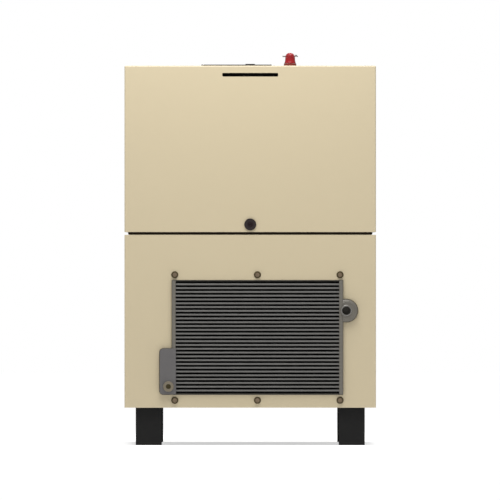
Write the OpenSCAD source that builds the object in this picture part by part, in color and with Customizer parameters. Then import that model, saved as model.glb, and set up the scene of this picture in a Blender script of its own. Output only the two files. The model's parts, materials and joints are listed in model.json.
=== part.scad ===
// Home standby generator: a gas engine and alternator in a sheet-metal
// enclosure on four legs. The upper half is a hood hinged at the rear. The
// radiator stands in the front panel. +X is the viewer's right when facing
// the radiator end, -Y is the radiator end, and Z is zero at the feet.

/* [Cabinet] */
// Width over the side panels
body_w = 630; // [620:1:660]
// Length over the front and rear panels
body_l = 1000; // [990:1:1040]
// Height of the legs
leg_h = 94; // [80:1:120]
// Height of the lower cabinet above the legs
lower_h = 433; // [425:1:445]
// Gap between the lower cabinet and the hood
seam = 7; // [5:0.5:9]
// Height of the hood
hood_h = 417; // [410:1:450]
// Thickness of the enclosure's sheet
sheet = 2; // [1.5:0.5:2]
// Inset of the weather rim behind the panels
rim_inset = 11; // [9:1:12]

/* [Legs] */
// Width of a leg across the cabinet
leg_w = 65; // [60:1:70]
// Length of a leg along the cabinet
leg_l = 100; // [90:1:110]
// Distance from the cabinet's side to a leg
leg_inset = 28; // [24:1:32]
// Distance between the anchor holes along the cabinet
anchor_y = 870; // [860:1:880]
// Diameter of an anchor hole
anchor_d = 14; // [12:1:16]

/* [Radiator] */
// Width over the radiator's side tanks
rad_w = 428; // [420:1:430]
// Height of the radiator
rad_h = 286; // [280:1:290]
// Offset of the radiator's centre from the cabinet's centre
rad_x = 18; // [14:1:20]
// Height of the radiator's lower edge above the floor
rad_z = 127; // [126:1:130]
// Number of bars on the radiator's face
bar_count = 29; // [20:1:30]
// Distance from one bar to the next
bar_pitch = 9.5; // [9:0.1:9.6]
// Height of a bar
bar_h = 4.5; // [3:0.5:6]
// How far the radiator stands out of the panel
rad_out = 8; // [4:1:10]
// Diameter of a mounting screw's flange
screw_flange_d = 18; // [16:1:20]

/* [Hood fittings] */
// Length of the air slot in the hood's front
slot_w = 140; // [100:1:160]
// Height of the air slot
slot_h = 9; // [6:1:12]
// Diameter of the lock's face
lock_d = 30; // [28:1:32]
// Width of the roof hatch
hatch_w = 176; // [170:1:180]
// Length of the roof hatch
hatch_l = 240; // [220:1:260]
// Travel of the emergency stop
stop_travel = 4; // [3:0.5:4]

/* [Engine] */
// Height of the crankshaft above the floor
crank_z = 290; // [290:1:292]
// Outer diameter of the alternator
alt_d = 280; // [276:1:280]
// Diameter of the cooling fan
fan_d = 264; // [250:1:266]

/* [Hidden] */
$fn = 64;
hx = body_w / 2;
hy = body_l / 2;
base_z = leg_h;
rail_h = 40;
pan_z = base_z + rail_h + sheet;
lower_top = leg_h + lower_h;
hood_z = lower_top + seam;
roof_z = hood_z + hood_h;
return_l = 30;
rim_x = hx - rim_inset;
rim_y = hy - rim_inset;
rim_top = lower_top + 13;
anchor_x = body_w - 2 * leg_inset - leg_w;
rad_x0 = rad_x - rad_w / 2;
rad_x1 = rad_x + rad_w / 2;
rad_z1 = rad_z + rad_h;
rad_y0 = -hy - rad_out;
rad_y1 = rad_y0 + 60;
tank_t = 9;
screw_xs = [rad_x - 207, rad_x, rad_x + 207];
screw_zs = [rad_z - 14.5, rad_z1 + 14];
fan_z = rad_z + rad_h / 2;
boss_x = 241;
duct_l = 28;
boss_z = 337;
boss_r = 28.5;
port_r = 10.5;
drain_x = -205;
drain_z = 147;
lock_z = hood_z + 19;
slot_z = roof_z - 23;
hatch_x0 = -122;
hatch_y0 = -330;
stop_x = 100;
stop_y = -430;
hinge_y = hy + 8;
hinge_z = lower_top + seam / 2;
hinge_xs = [-200, 200];
pin_r = 3;
fit = 0.06;
alt_r = alt_d / 2;
head_x = 85;
conduit_x = 200;
gas_x = 60;
exhaust_x = 125;
exhaust_z = 492;
muffler_y = 400;
muffler_z = 640;

// A box given by its lowest and highest corners.
module box(low, high) { translate(low) cube(high - low); }

// Round bars along X, Y and Z, each from its lowest end.
module rod_x(at, r, l) { translate(at) rotate([0, 90, 0]) cylinder(r = r, h = l); }
module rod_y(at, r, l) { translate(at) rotate([-90, 0, 0]) cylinder(r = r, h = l); }
module rod_z(at, r, l) { translate(at) cylinder(r = r, h = l); }

// A rectangular ring of sheet lying flat, outer half sizes x and y.
module ring_wall(x, y, z0, z1, t) {
    difference() {
        box([-x, -y, z0], [x, y, z1]);
        box([t - x, t - y, z0 - 1], [x - t, y - t, z1 + 1]);
    }
}

// A copy on each side of the cabinet.
module both_sides() {
    children();
    mirror([1, 0, 0]) children();
}

// A copy at each end of the cabinet.
module both_ends() {
    children();
    mirror([0, 1, 0]) children();
}

// A quarter elbow in the YZ plane around a centre, from below it round to +Y.
module elbow_yz(at, bend_r, r) {
    translate(at) rotate([0, 90, 0]) rotate_extrude(angle = 90)
        translate([bend_r, 0]) circle(r);
}

// A quarter elbow in the XY plane around a centre, from a start angle.
module elbow_xy(at, bend_r, r, start) {
    translate(at) rotate([0, 0, start]) rotate_extrude(angle = 90)
        translate([bend_r, 0]) circle(r);
}

// ---- Frame and legs ----

// Base: the ring of rails, two engine bearers, and the pan on an insulating gap.
// The front rail is notched for the radiator and set back behind its flange.
module base_frame() {
    wall = 4;
    rail_w = 60;
    bearer_y = 250;
    bearer_w = 60;
    gap = 0.3;
    top = base_z + rail_h;
    bearer_x = hx - sheet - rail_w - gap;
    flange_y = sheet - hy + wall;
    duct_half = 60;
    notch_x = [rad_x0 - 36, rad_x1 + 10];
    color("#2c2c2c") {
        difference() {
            union() {
                difference() {
                    ring_wall(hx - sheet, hy - sheet, base_z, top, rail_w);
                    ring_wall(hx - sheet - wall, hy - sheet - wall, base_z + wall, top - wall, rail_w);
                }
                box([sheet - hx, sheet - hy, top + gap], [hx - sheet, hy - sheet, pan_z]);
            }
            box([notch_x[0], -hy, rad_z - 1], [notch_x[1], rad_y1 + duct_l + 1, pan_z + 1]);
            box([rad_x - duct_half, -hy, rad_z - 1], [rad_x + duct_half, rad_y1 + duct_l + 50, pan_z + 1]);
            box([rad_x0 - 5, -hy, base_z + wall], [rad_x1 + 5, flange_y, rad_z]);
        }
        difference() {
            box([notch_x[0], flange_y, base_z + wall], [notch_x[1], flange_y + wall, rad_z - 1]);
            for (x = screw_xs)
                rod_y([x, -hy, screw_zs[0]], 4.06, 20);
        }
        for (y = [-bearer_y, bearer_y]) difference() {
            box([-bearer_x, y - bearer_w / 2, base_z], [bearer_x, y + bearer_w / 2, top]);
            box([-hx, y - bearer_w / 2 + wall, base_z + wall], [hx, y + bearer_w / 2 - wall, top + 1]);
        }
    }
}

// One leg: a boxed channel, open on its inner side, on a drilled foot plate.
module leg() {
    wall = 5;
    foot = 6;
    x1 = hx - leg_inset;
    x0 = x1 - leg_w;
    y0 = anchor_y / 2 - leg_l / 2;
    difference() {
        box([x0, y0, 0], [x1, y0 + leg_l, leg_h]);
        box([x0 - 1, y0 + wall, foot], [x1 - wall, y0 + leg_l - wall, leg_h - foot]);
        rod_z([anchor_x / 2, anchor_y / 2, -1], anchor_d / 2, foot + 2);
    }
}

module legs() {
    color("#262626") both_sides() both_ends() leg();
}

// Corner posts with the rim that the panels and the seal sit on.
module upper_frame() {
    post = 35;
    flange_top = lower_top;
    color("#c9bb9c") {
        both_sides() both_ends() difference() {
            box([hx - sheet - post, hy - sheet - post, pan_z], [hx - sheet, hy - sheet, flange_top - 2]);
            box([hx - sheet - post - 1, hy - sheet - post - 1, pan_z - 1],
                [hx - sheet - 3, hy - sheet - 3, flange_top]);
        }
        ring_wall(hx - sheet, hy - sheet, flange_top - 2, flange_top, rim_inset);
        ring_wall(rim_x, rim_y, flange_top - 22, rim_top, 2);
        box([2 - rim_x, 28, flange_top - 19], [5 - rim_x, 52, 568]);
        rod_x([4 - rim_x, 40, 556], 4, 16);
    }
}

// Rubber weather seal over the rim.
module rim_seal() {
    color("#141414") {
        ring_wall(rim_x + 2, rim_y + 2, lower_top + 1, rim_top, 2);
        difference() {
            ring_wall(rim_x + 2, rim_y + 2, rim_top, rim_top + 5, 4);
            box([-lock_d / 2, -hy, rim_top + 1.2], [lock_d / 2, return_l - hy, rim_top + 6]);
        }
    }
}

// ---- Lower panels ----

// Clearance outline for the radiator, its inlet boss and its drain tank.
module radiator_cutout() {
    gap = 1;
    box([rad_x0 - gap, -hy - 5, rad_z - gap], [rad_x1 + gap, -hy + 5, rad_z1 + gap]);
    box([rad_x1, -hy - 5, boss_z - boss_r - gap], [boss_x, -hy + 5, boss_z + boss_r + gap]);
    rod_y([boss_x, -hy - 5, boss_z], boss_r + gap, 10);
    box([-228, -hy - 5, rad_z - gap], [-185, -hy + 5, rad_z + 116]);
}

module end_panel() {
    box([-hx, -hy, base_z], [hx, sheet - hy, lower_top]);
    both_sides()
        box([hx - sheet, sheet - hy, base_z], [hx, return_l - hy, lower_top]);
}

module front_panel() {
    color("#cdbf9f") difference() {
        end_panel();
        radiator_cutout();
        for (x = screw_xs, z = screw_zs)
            rod_y([x, -hy - 1, z], 4.5, sheet + 2);
    }
}

// Rear panel with air slots and a welded conduit hub.
module rear_panel() {
    hub_r = 31;
    color("#cdbf9f") difference() {
        union() {
            mirror([0, 1, 0]) end_panel();
            rod_y([conduit_x, hy, 220], hub_r, 14);
        }
        rod_y([conduit_x, hy - 10, 220], 25, 40);
        rod_y([gas_x, hy - 10, 220], 24, 40);
        rod_y([-180, hy - 10, 440], 27, 40);
        for (i = [0 : 8])
            box([-130, hy - 5, 250 + 22 * i], [-20, hy + 5, 258 + 22 * i]);
        for (i = [0 : 8])
            box([20, hy - 5, 270 + 22 * i], [130, hy + 5, 278 + 22 * i]);
    }
}

// Side panel with two blocks of air slots near the alternator.
module side_panel() {
    color("#cdbf9f") difference() {
        box([hx - sheet, return_l + 1 - hy, base_z], [hx, hy - return_l - 1, lower_top]);
        for (y = [60, 220], i = [0 : 11])
            box([hx - 10, y, 210 + 22 * i], [hx + 5, y + 98, 218 + 22 * i]);
    }
}
module left_side_panel() { mirror([1, 0, 0]) side_panel(); }
module right_side_panel() { side_panel(); }

// ---- Hood ----

// Five-sided cover with an in-turned lower edge.
module hood() {
    lip = 5;
    color("#d3c6a9") difference() {
        union() {
            difference() {
                box([-hx, -hy, hood_z], [hx, hy, roof_z]);
                box([sheet - hx, sheet - hy, hood_z - 1], [hx - sheet, hy - sheet, roof_z - sheet]);
            }
            ring_wall(hx - sheet, hy - sheet, hood_z, hood_z + sheet, lip);
        }
        box([-slot_w / 2, -hy - 1, slot_z - slot_h / 2], [slot_w / 2, sheet + 1 - hy, slot_z + slot_h / 2]);
        rod_y([0, -hy - 1, lock_z], 11.2, sheet + 2);
        box([hatch_x0 + 18, hatch_y0 + 20, roof_z - 5],
            [hatch_x0 + hatch_w - 20, hatch_y0 + hatch_l - 20, roof_z + 5]);
        rod_z([stop_x, stop_y, roof_z - 5], 11.2, 10);
    }
}

// Rain tray behind the air slot, open at the top.
module vent_baffle() {
    w = slot_w / 2 + 12;
    y0 = sheet - hy;
    color("#151515") difference() {
        box([-w, y0, slot_z - 24], [w, y0 + 32, slot_z + 14]);
        box([2 - w, y0 - 1, slot_z - slot_h], [w - 2, y0 + 30, slot_z + 20]);
    }
}

// Fixed leaves: a plate, a foot and two outer knuckles each.
module hinge_lower_leaves() {
    color("#8d8d8d") for (x = hinge_xs) difference() {
        union() {
            box([x - 35, hy, lower_top - 45], [x + 35, hy + 2.5, lower_top - 1]);
            for (s = [-35, 15]) {
                box([x + s, hy, lower_top - 6], [x + s + 20, hinge_y, lower_top - 1]);
                rod_x([x + s, hinge_y, hinge_z], 6, 20);
            }
        }
        rod_x([x - 40, hinge_y, hinge_z], pin_r + fit, 80);
    }
}

// Leaves on the hood: a plate, a foot and one middle knuckle each.
module hinge_upper_leaves() {
    color("#8d8d8d") for (x = hinge_xs) difference() {
        union() {
            box([x - 35, hy, hood_z + 1], [x + 35, hy + 2.5, hood_z + 46]);
            box([x - 14, hy, hood_z + 1], [x + 14, hinge_y, hood_z + 5]);
            rod_x([x - 14, hinge_y, hinge_z], 6, 28);
        }
        rod_x([x - 40, hinge_y, hinge_z], pin_r + fit, 80);
    }
}

module hinge_pins() {
    color("#b5b5b5") for (x = hinge_xs) {
        rod_x([x - 37, hinge_y, hinge_z], pin_r, 74);
        rod_x([x - 39, hinge_y, hinge_z], 5, 3.5);
    }
}

// Lock barrel through the hood's front, with a nut behind.
module hood_lock_body() {
    color("#1b1b1b") difference() {
        union() {
            rod_y([0, -hy - 4, lock_z], lock_d / 2, 4);
            rod_y([0, -hy, lock_z], 11, 22);
            rod_y([0, sheet - hy, lock_z], 15, 5);
        }
        rod_y([0, -hy - 5, lock_z], 7.06, 40);
    }
}

// Turning core with the tongue that hooks behind the rim.
module hood_lock_cam() {
    tip = 34;
    y1 = 22.4 - hy;
    color("#3a3a3a") difference() {
        union() {
            rod_y([0, -hy - 4.5, lock_z], 7, 26.9);
            rod_y([0, y1, lock_z], 9, 3);
            box([0, y1, lock_z - 7], [tip, y1 + 3, lock_z + 7]);
        }
        box([-4.5, -hy - 5, lock_z - 1.2], [4.5, -hy - 1.5, lock_z + 1.2]);
    }
}

// ---- Roof hatch ----

hatch_lift = 1.5;
hatch_t = 2.5;
hatch_axis_x = hatch_x0 + 1.2;
hatch_axis_z = roof_z + 2.3;
hatch_knuckle_r = 2.1;
latch_y = hatch_y0 + hatch_l / 2;

// Knuckle places along the hatch, alternating between the two leaves.
function hatch_steps(first) = [for (i = [first : 2 : 8]) hatch_y0 + hatch_l * i / 9];

module hatch_lid() {
    step = hatch_l / 9;
    z0 = roof_z + hatch_lift;
    x1 = hatch_x0 + hatch_w;
    color("#2f2d2b") difference() {
        union() {
            box([hatch_axis_x + 3.4, hatch_y0, z0], [x1 - 2, hatch_y0 + hatch_l, z0 + hatch_t]);
            rod_y([x1 - 2, hatch_y0, roof_z + 2.4], 2, hatch_l);
            for (y = hatch_steps(1)) {
                box([hatch_axis_x, y + 0.4, hatch_axis_z - 0.7],
                    [hatch_axis_x + 4, y + step - 0.4, hatch_axis_z + 0.7]);
                rod_y([hatch_axis_x, y + 0.4, hatch_axis_z], hatch_knuckle_r, step - 0.8);
            }
        }
        rod_y([hatch_axis_x, hatch_y0 - 1, hatch_axis_z], 1.05, hatch_l + 2);
        rod_z([0, latch_y, z0 - 1], 5.06, 10);
    }
}

// Foam ring stuck under the lid, just clear of the roof.
module hatch_gasket() {
    z0 = roof_z + 0.4;
    color("#101010") difference() {
        box([hatch_x0 + 10, hatch_y0 + 8, z0],
            [hatch_x0 + hatch_w - 8, hatch_y0 + hatch_l - 8, roof_z + hatch_lift]);
        box([hatch_x0 + 18, hatch_y0 + 18, z0 - 1],
            [hatch_x0 + hatch_w - 18, hatch_y0 + hatch_l - 18, roof_z + 3]);
    }
}

// Knuckles on the roof, each on a low foot.
module hatch_hinge_leaf() {
    step = hatch_l / 9;
    color("#3a3836") difference() {
        for (y = hatch_steps(0)) {
            box([hatch_axis_x - 3, y + 0.4, roof_z], [hatch_axis_x + 1, y + step - 0.4, roof_z + 1]);
            rod_y([hatch_axis_x, y + 0.4, hatch_axis_z], hatch_knuckle_r, step - 0.8);
        }
        rod_y([hatch_axis_x, hatch_y0 - 1, hatch_axis_z], 1.05, hatch_l + 2);
        box([hatch_axis_x - 5, hatch_y0 - 1, roof_z - 3], [hatch_axis_x + 5, hatch_y0 + hatch_l + 1, roof_z]);
    }
}

module hatch_pin() {
    color("#9a9a9a") rod_y([hatch_axis_x, hatch_y0, hatch_axis_z], 1, hatch_l);
}

// Quarter-turn latch: a low knob, a shaft and a tongue under the lid.
module hatch_latch() {
    top = roof_z + hatch_lift + hatch_t;
    color("#55504e") difference() {
        union() {
            rod_z([0, latch_y, top + 0.3], 12, 2.4);
            rod_z([0, latch_y, roof_z - 10], 5, 13.9 + hatch_t);
            box([-6, latch_y - 6, roof_z - 12], [6, latch_y + 48, roof_z - 8]);
        }
        box([-9, latch_y - 1.2, top + 1.4], [9, latch_y + 1.2, top + 5]);
    }
}

// ---- Emergency stop ----

// Collar, threaded barrel, nut and contact block, all fixed to the roof.
module stop_base() {
    color("#3d2a24") difference() {
        union() {
            rod_z([stop_x, stop_y, roof_z], 15.5, 6);
            rod_z([stop_x, stop_y, roof_z - 18], 11, 19);
            rod_z([stop_x, stop_y, roof_z - 8], 16, 8 - sheet);
            box([stop_x - 17, stop_y - 21, roof_z - 46], [stop_x + 17, stop_y + 21, roof_z - 16]);
        }
        rod_z([stop_x, stop_y, roof_z + 1.8], 14.7, 10);
        rod_z([stop_x, stop_y, roof_z - 16], 5.06, 30);
    }
}

// Red tapered head on its stem, with a neck and a dome above the ear plate.
module stop_head() {
    z0 = roof_z + 6.3;
    neck = roof_z + 21.6;
    color("#b03137") {
        translate([stop_x, stop_y, 0]) rotate_extrude()
            polygon([[0, z0], [14.2, z0], [14.2, z0 + 1], [13, z0 + 5], [12.4, z0 + 9],
                [12.2, neck], [8, neck], [8, neck + 4], [11, neck + 4], [11, neck + 5],
                [0, neck + 5]]);
        translate([stop_x, stop_y, neck + 5]) intersection() {
            translate([0, 0, -6.875]) sphere(r = 12.9718);
            cylinder(r = 20, h = 10);
        }
        rod_z([stop_x, stop_y, roof_z - 10], 5, 17);
    }
}

// Release plate that turns on the head's neck: a flat ear and a curled one.
module stop_ear_plate() {
    z0 = roof_z + 21.9;
    t = 3.4;
    half = 5;
    color("#8a8583") translate([stop_x, stop_y, z0]) difference() {
        union() {
            cylinder(r = 12.4, h = t);
            translate([0, half, 0]) rotate([90, 0, 0]) linear_extrude(2 * half)
                polygon([[-19, 0], [12.5, 0], [14.2, 1.2], [17, 1], [19, -0.4], [19.8, 1.2],
                    [17.4, 4.6], [14.8, 6.2], [12.5, 5.2], [12.3, t], [-19, t]]);
        }
        translate([0, 0, -1]) cylinder(r = 8.06, h = t + 2);
    }
}

// ---- Radiator ----

// Finned core: a block behind, and a bar for each row on its face.
module radiator_core() {
    x0 = rad_x0 + tank_t;
    x1 = rad_x1 - tank_t;
    first = rad_z + (rad_h - bar_pitch * (bar_count - 1) - bar_h) / 2;
    color("#5f5f5d") {
        box([x0, rad_out - 2 + rad_y0, rad_z + sheet], [x1, rad_y1, rad_z1 - sheet]);
        for (i = [0 : bar_count - 1])
            box([x0, rad_y0, first + bar_pitch * i],
                [x1, rad_y0 + rad_out - 2, first + bar_pitch * i + bar_h]);
    }
}

// Side tanks joined by plates, with screwed flanges behind the panel.
module radiator_frame() {
    flange_y = sheet - hy;
    color("#6b675f") difference() {
        union() {
            for (x = [rad_x0, rad_x1 - tank_t])
                box([x, rad_y0, rad_z], [x + tank_t, rad_y1, rad_z1]);
            for (z = [rad_z, rad_z1 - sheet])
                box([rad_x0, flange_y, z], [rad_x1, rad_y1, z + sheet]);
            box([rad_x0 - 4, flange_y, rad_z1 - sheet], [rad_x1 + 4, flange_y + 4, rad_z1 + 28]);
            box([rad_x0 - 4, flange_y, rad_z - 28], [rad_x1 + 4, flange_y + 4, rad_z]);
        }
        for (x = screw_xs, z = screw_zs)
            rod_y([x, flange_y - 1, z], 4.06, 8);
        rod_y([boss_x, rad_y0 - 1, boss_z], port_r + 0.5, 30);
    }
}

// Flanged hexagon screws.
module radiator_screws() {
    color("#6a6a6a") for (x = screw_xs, z = screw_zs) {
        rod_y([x, -hy - 2, z], screw_flange_d / 2, 2);
        translate([x, -hy - 2, z]) rotate([90, 0, 0]) cylinder(r = 7.5, h = 5, $fn = 6);
        rod_y([x, -hy, z], 4, 20);
    }
}

// Inlet boss with a blind port, its rim rounded.
module inlet_boss() {
    edge = 6;
    depth = 38;
    front = rad_y0 - 4;
    color("#635f57") difference() {
        union() {
            translate([boss_x, front, boss_z]) rotate([-90, 0, 0]) rotate_extrude() union() {
                square([boss_r - edge, depth]);
                translate([0, edge]) square([boss_r, depth - edge]);
                intersection() {
                    translate([boss_r - edge, edge]) circle(edge);
                    square([boss_r, edge + 1]);
                }
            }
            box([rad_x1, front + edge / 2, boss_z - boss_r], [boss_x, front + depth, boss_z + boss_r]);
        }
        rod_y([boss_x, front - 1, boss_z], port_r, 31);
        box([rad_x1 - 40, front - 1, boss_z - 40], [rad_x1, front + depth + 1, boss_z + 40]);
    }
}

// Drain tank at the lower left, with rounded outer corners.
module drain_tank() {
    x0 = -227;
    x1 = rad_x0;
    z0 = rad_z;
    z1 = rad_z + 115;
    r = 9;
    front = rad_y0 - 4;
    color("#6a6768") difference() {
        union() {
            box([x0 + r, front, z0], [x1, front + 38, z1]);
            box([x0, front, z0 + r], [x1, front + 38, z1 - r]);
            for (z = [z0 + r, z1 - r])
                rod_y([x0 + r, front, z], r, 38);
            box([x1, front, z0], [x1 + 10, rad_y0, z1]);
        }
        rod_y([drain_x, front - 1, drain_z], 8.06, 24);
    }
}

// Drain plug with a wide washer face and a hexagon socket.
module drain_plug() {
    front = rad_y0 - 4;
    color("#b3a88f") difference() {
        union() {
            rod_y([drain_x, front - 5.3, drain_z], 13.2, 5);
            rod_y([drain_x, front - 0.4, drain_z], 8, 18);
        }
        translate([drain_x, front - 6, drain_z])
            rotate([-90, 0, 0]) cylinder(r = 5.2, h = 5, $fn = 6);
    }
}

// Square duct, a round collar and the arms that carry the fan motor.
module fan_shroud() {
    y0 = rad_y1;
    y1 = y0 + duct_l - 2;
    w = 160;
    h = rad_h / 2 - 4;
    color("#202020") difference() {
        union() {
            box([rad_x - w, y0, fan_z - h], [rad_x + w, y0 + duct_l, fan_z + h]);
            rod_y([rad_x, y1, fan_z], fan_d / 2 + 9, 42);
            rod_y([rad_x, y1 + 42, fan_z], 46, 6);
            for (a = [30, 150, 270])
                translate([rad_x, y1 + 42, fan_z]) rotate([0, a, 0])
                    box([40, 0, -9], [fan_d / 2 + 8, 6, 9]);
        }
        box([rad_x - w + 2, y0 - 1, fan_z - h + 2], [rad_x + w - 2, y1, fan_z + h - 2]);
        rod_y([rad_x, y1 - 1, fan_z], fan_d / 2 + 6, 43);
        rod_y([rad_x, y1 + 41, fan_z], 38.3, 10);
    }
}

// Seven-bladed fan with pitched blades.
module fan() {
    y0 = rad_y1 + 34;
    color("#2b2b2b") difference() {
        union() {
            rod_y([rad_x, y0, fan_z], 38, 22);
            for (i = [0 : 6])
                translate([rad_x, y0 + 11, fan_z]) rotate([0, i * 360 / 7, 0]) rotate([28, 0, 0])
                    box([34, -1.5, -21], [fan_d / 2 - 2, 1.5, 21]);
        }
        rod_y([rad_x, y0 - 1, fan_z], 5.06, 30);
    }
}

module fan_motor() {
    y0 = rad_y1 + 60;
    color("#3c3c3c") {
        rod_y([rad_x, y0, fan_z], 38, 34);
        rod_y([rad_x, y0 - 27, fan_z], 5, 30);
        rod_y([rad_x, y0 + 14, fan_z], 45, 4);
    }
}

// Upper hose to the block's front, lower hose to the block's left side.
module radiator_hoses() {
    r = 17;
    upper_x = rad_x1 - 34;
    lower_x = rad_x0 + 34;
    in_x = 60;
    color("#181818") {
        rod_y([upper_x, rad_y1, 380], r, 60);
        elbow_xy([upper_x - 40, rad_y1 + 60, 380], 40, r, 0);
        rod_x([in_x + 40, rad_y1 + 100, 380], r, upper_x - in_x - 80);
        elbow_xy([in_x + 40, rad_y1 + 140, 380], 40, r, 180);
        rod_y([in_x, rad_y1 + 140, 380], r, -300 - rad_y1 - 140);
        rod_y([lower_x, rad_y1, 252], r, -200 - rad_y1);
        elbow_xy([lower_x + 40, -200, 252], 40, r, 90);
        rod_x([lower_x + 40, -160, 252], r, -head_x - lower_x - 40);
    }
}

// ---- Engine ----

// Rubber mounts between the pan and the feet of the engine and alternator.
module isolators() {
    color("#1a1a1a") both_sides() both_ends() rod_z([118, 250, pan_z], 24, 40);
}

// Block with crankcase, cylinders, flywheel housing, feet, pump and dipstick tube.
module engine_block() {
    color("#4a4d50") difference() {
        union() {
            box([-head_x, -300, 230], [head_x, -40, 450]);
            rod_y([0, -40, crank_z], 148, 40);
            both_sides() {
                box([head_x, -270, 176], [head_x + 8, -230, 260]);
                box([head_x, -270, 176], [142, -230, 186]);
            }
            rod_y([-40, -318, 400], 30, 18);
            rod_y([-40, -340, 400], 8, 30);
            rod_z([-78, -308, 235], 6, 325);
            for (z = [300, 430])
                box([-82, -304, z], [-74, -299, z + 20]);
        }
        box([-72, -285, 229], [72, -55, 355]);
        for (y = [-245, -170, -95])
            rod_z([0, y, 350], 38, 101);
        rod_y([0, -301, crank_z], 24 + fit, 267);
        rod_y([0, -36, crank_z], 138, 37);
        rod_z([-78, -308, 238], 4, 330);
    }
}

module cylinder_head() {
    color("#8b8d8e") difference() {
        box([-head_x, -300, 450], [head_x, -40, 530]);
        for (y = [-245, -170, -95])
            rod_z([0, y, 449], 36, 12);
    }
}

// Rounded cover with the oil filler neck.
module valve_cover() {
    color("#2e3133") difference() {
        union() {
            box([-70, -290, 530], [70, -50, 570]);
            box([-58, -290, 530], [58, -50, 582]);
            for (x = [-58, 58])
                rod_y([x, -290, 570], 12, 240);
            rod_z([0, -120, 580], 18, 15);
        }
        box([-64, -284, 529], [64, -56, 566]);
        rod_z([0, -120, 560], 14 + fit, 40);
    }
}

module oil_pan() {
    color("#33363a") difference() {
        box([-80, -296, 152], [80, -44, 230]);
        box([-76, -292, 156], [76, -48, 231]);
    }
}

// Crankshaft with three throws and the flywheel.
module crankshaft() {
    throw_r = 32;
    color("#9a9a9a") {
        rod_y([0, -345, crank_z], 24, 63);
        rod_y([0, -68, crank_z], 24, 34);
        rod_y([0, -34, crank_z], 132, 22);
        rod_y([0, -12, crank_z], 40, 12);
        for (i = [0 : 2]) {
            y = -282 + 72 * i;
            translate([0, y, crank_z]) rotate([0, 120 * i, 0]) {
                rod_y([0, 0, 0], 50, 14);
                rod_y([0, 14, throw_r - 10], 18, 42);
                rod_y([0, 56, 0], 50, 14);
            }
            rod_y([0, y + 68, crank_z], 24, 8);
        }
    }
}

// Flanged belt pulley of a given radius at a given place, with its bore.
module belt_pulley(at, r, bore) {
    difference() {
        union() {
            rod_y(at, r, 16);
            rod_y(at, r + 5, 1.6);
            rod_y(at + [0, 14.4, 0], r + 5, 1.6);
        }
        rod_y(at - [0, 1, 0], bore, 18);
    }
}

module crank_pulley() {
    color("#6e6e6e") belt_pulley([0, -337, crank_z], 60, 24 + fit);
}

module water_pump_pulley() {
    color("#6e6e6e") belt_pulley([-40, -337, 400], 45, 8 + fit);
}

// Belt outline round both pulleys, grown by an amount.
module belt_shape(grow) {
    hull() {
        circle(60 + grow, $fn = 48);
        translate([-40, 400 - crank_z]) circle(45 + grow, $fn = 48);
    }
}

module drive_belt() {
    color("#151515") translate([0, -323, crank_z]) rotate([90, 0, 0])
        linear_extrude(12) difference() {
            belt_shape(6);
            belt_shape(1);
        }
}

// ---- Alternator ----

// Barrel, drilled end bell and two feet.
module alternator_housing() {
    color("#5a6068") difference() {
        union() {
            rod_y([0, 0, crank_z], alt_r, 330);
            both_sides() box([80, 230, 176], [142, 270, 186]);
        }
        rod_y([0, -1, crank_z], alt_r - 14, 301);
        rod_y([0, 290, crank_z], 20 + fit, 50);
        for (i = [0 : 7])
            translate([0, 290, crank_z]) rotate([0, 45 * i, 0]) rod_y([82, 0, 0], 20, 50);
    }
}

// Laminated ring with its windings.
module stator() {
    color("#8a4f2a") difference() {
        rod_y([0, 60, crank_z], alt_r - 14.3, 210);
        rod_y([0, 59, crank_z], 94, 212);
    }
}

module rotor() {
    color("#7a7a7a") {
        rod_y([0, 70, crank_z], 92, 180);
        rod_y([0, 0, crank_z], 40, 10);
        rod_y([0, 0, crank_z], 20, 334);
    }
}

// ---- Engine fittings ----

module starter_motor() {
    color("#2d2d2d") {
        rod_y([117.7, -190, 262], 32, 150);
        rod_y([132, -160, 308], 16, 100);
        box([112, -150, 280], [136, -70, 308]);
    }
}

module oil_filter() {
    color("#c9c9c9") {
        rod_x([head_x, -268, 302], 34, 92);
        rod_x([head_x, -268, 302], 36, 8);
    }
}

// Stick with a ring handle, drawn straight up.
module dipstick() {
    color("#d0a52a") difference() {
        union() {
            rod_z([-78, -308, 240], 3, 325);
            rod_z([-78, -308, 560.4], 8, 7);
            rod_y([-78, -310, 577], 13, 4);
        }
        rod_y([-78, -311, 577], 8.5, 6);
    }
}

module oil_cap() {
    color("#1c1c1c") {
        rod_z([0, -120, 595.4], 24, 14);
        rod_z([0, -120, 575], 14, 21);
        box([-20, -124, 609], [20, -116, 614]);
    }
}

// Log manifold with three runners and the gas mixer on top.
module intake_manifold() {
    color("#7d8082") {
        box([-145, -290, 472], [-105, -50, 512]);
        for (y = [-245, -170, -95])
            rod_x([-106, y, 492], 17, 21);
        rod_z([-125, -170, 512], 26, 60);
    }
}

// Air filter canister, its duct and its brackets to the rim.
module air_cleaner() {
    x = -215;
    z = 640;
    color("#232323") {
        rod_y([x, -290, z], 62, 230);
        rod_y([x, -296, z], 52, 8);
        rod_x([x, -170, z], 20, -125 - x);
        translate([-125, -170, z]) sphere(20);
        rod_z([-125, -170, 572], 20, z - 572);
        for (y = [-270, -100]) {
            box([2 - rim_x, y, 508], [6 - rim_x, y + 30, 560]);
            box([2 - rim_x, y, 556], [x + 4, y + 30, 560]);
            box([x - 4, y, 556], [x + 4, y + 30, 590]);
        }
    }
}

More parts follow.
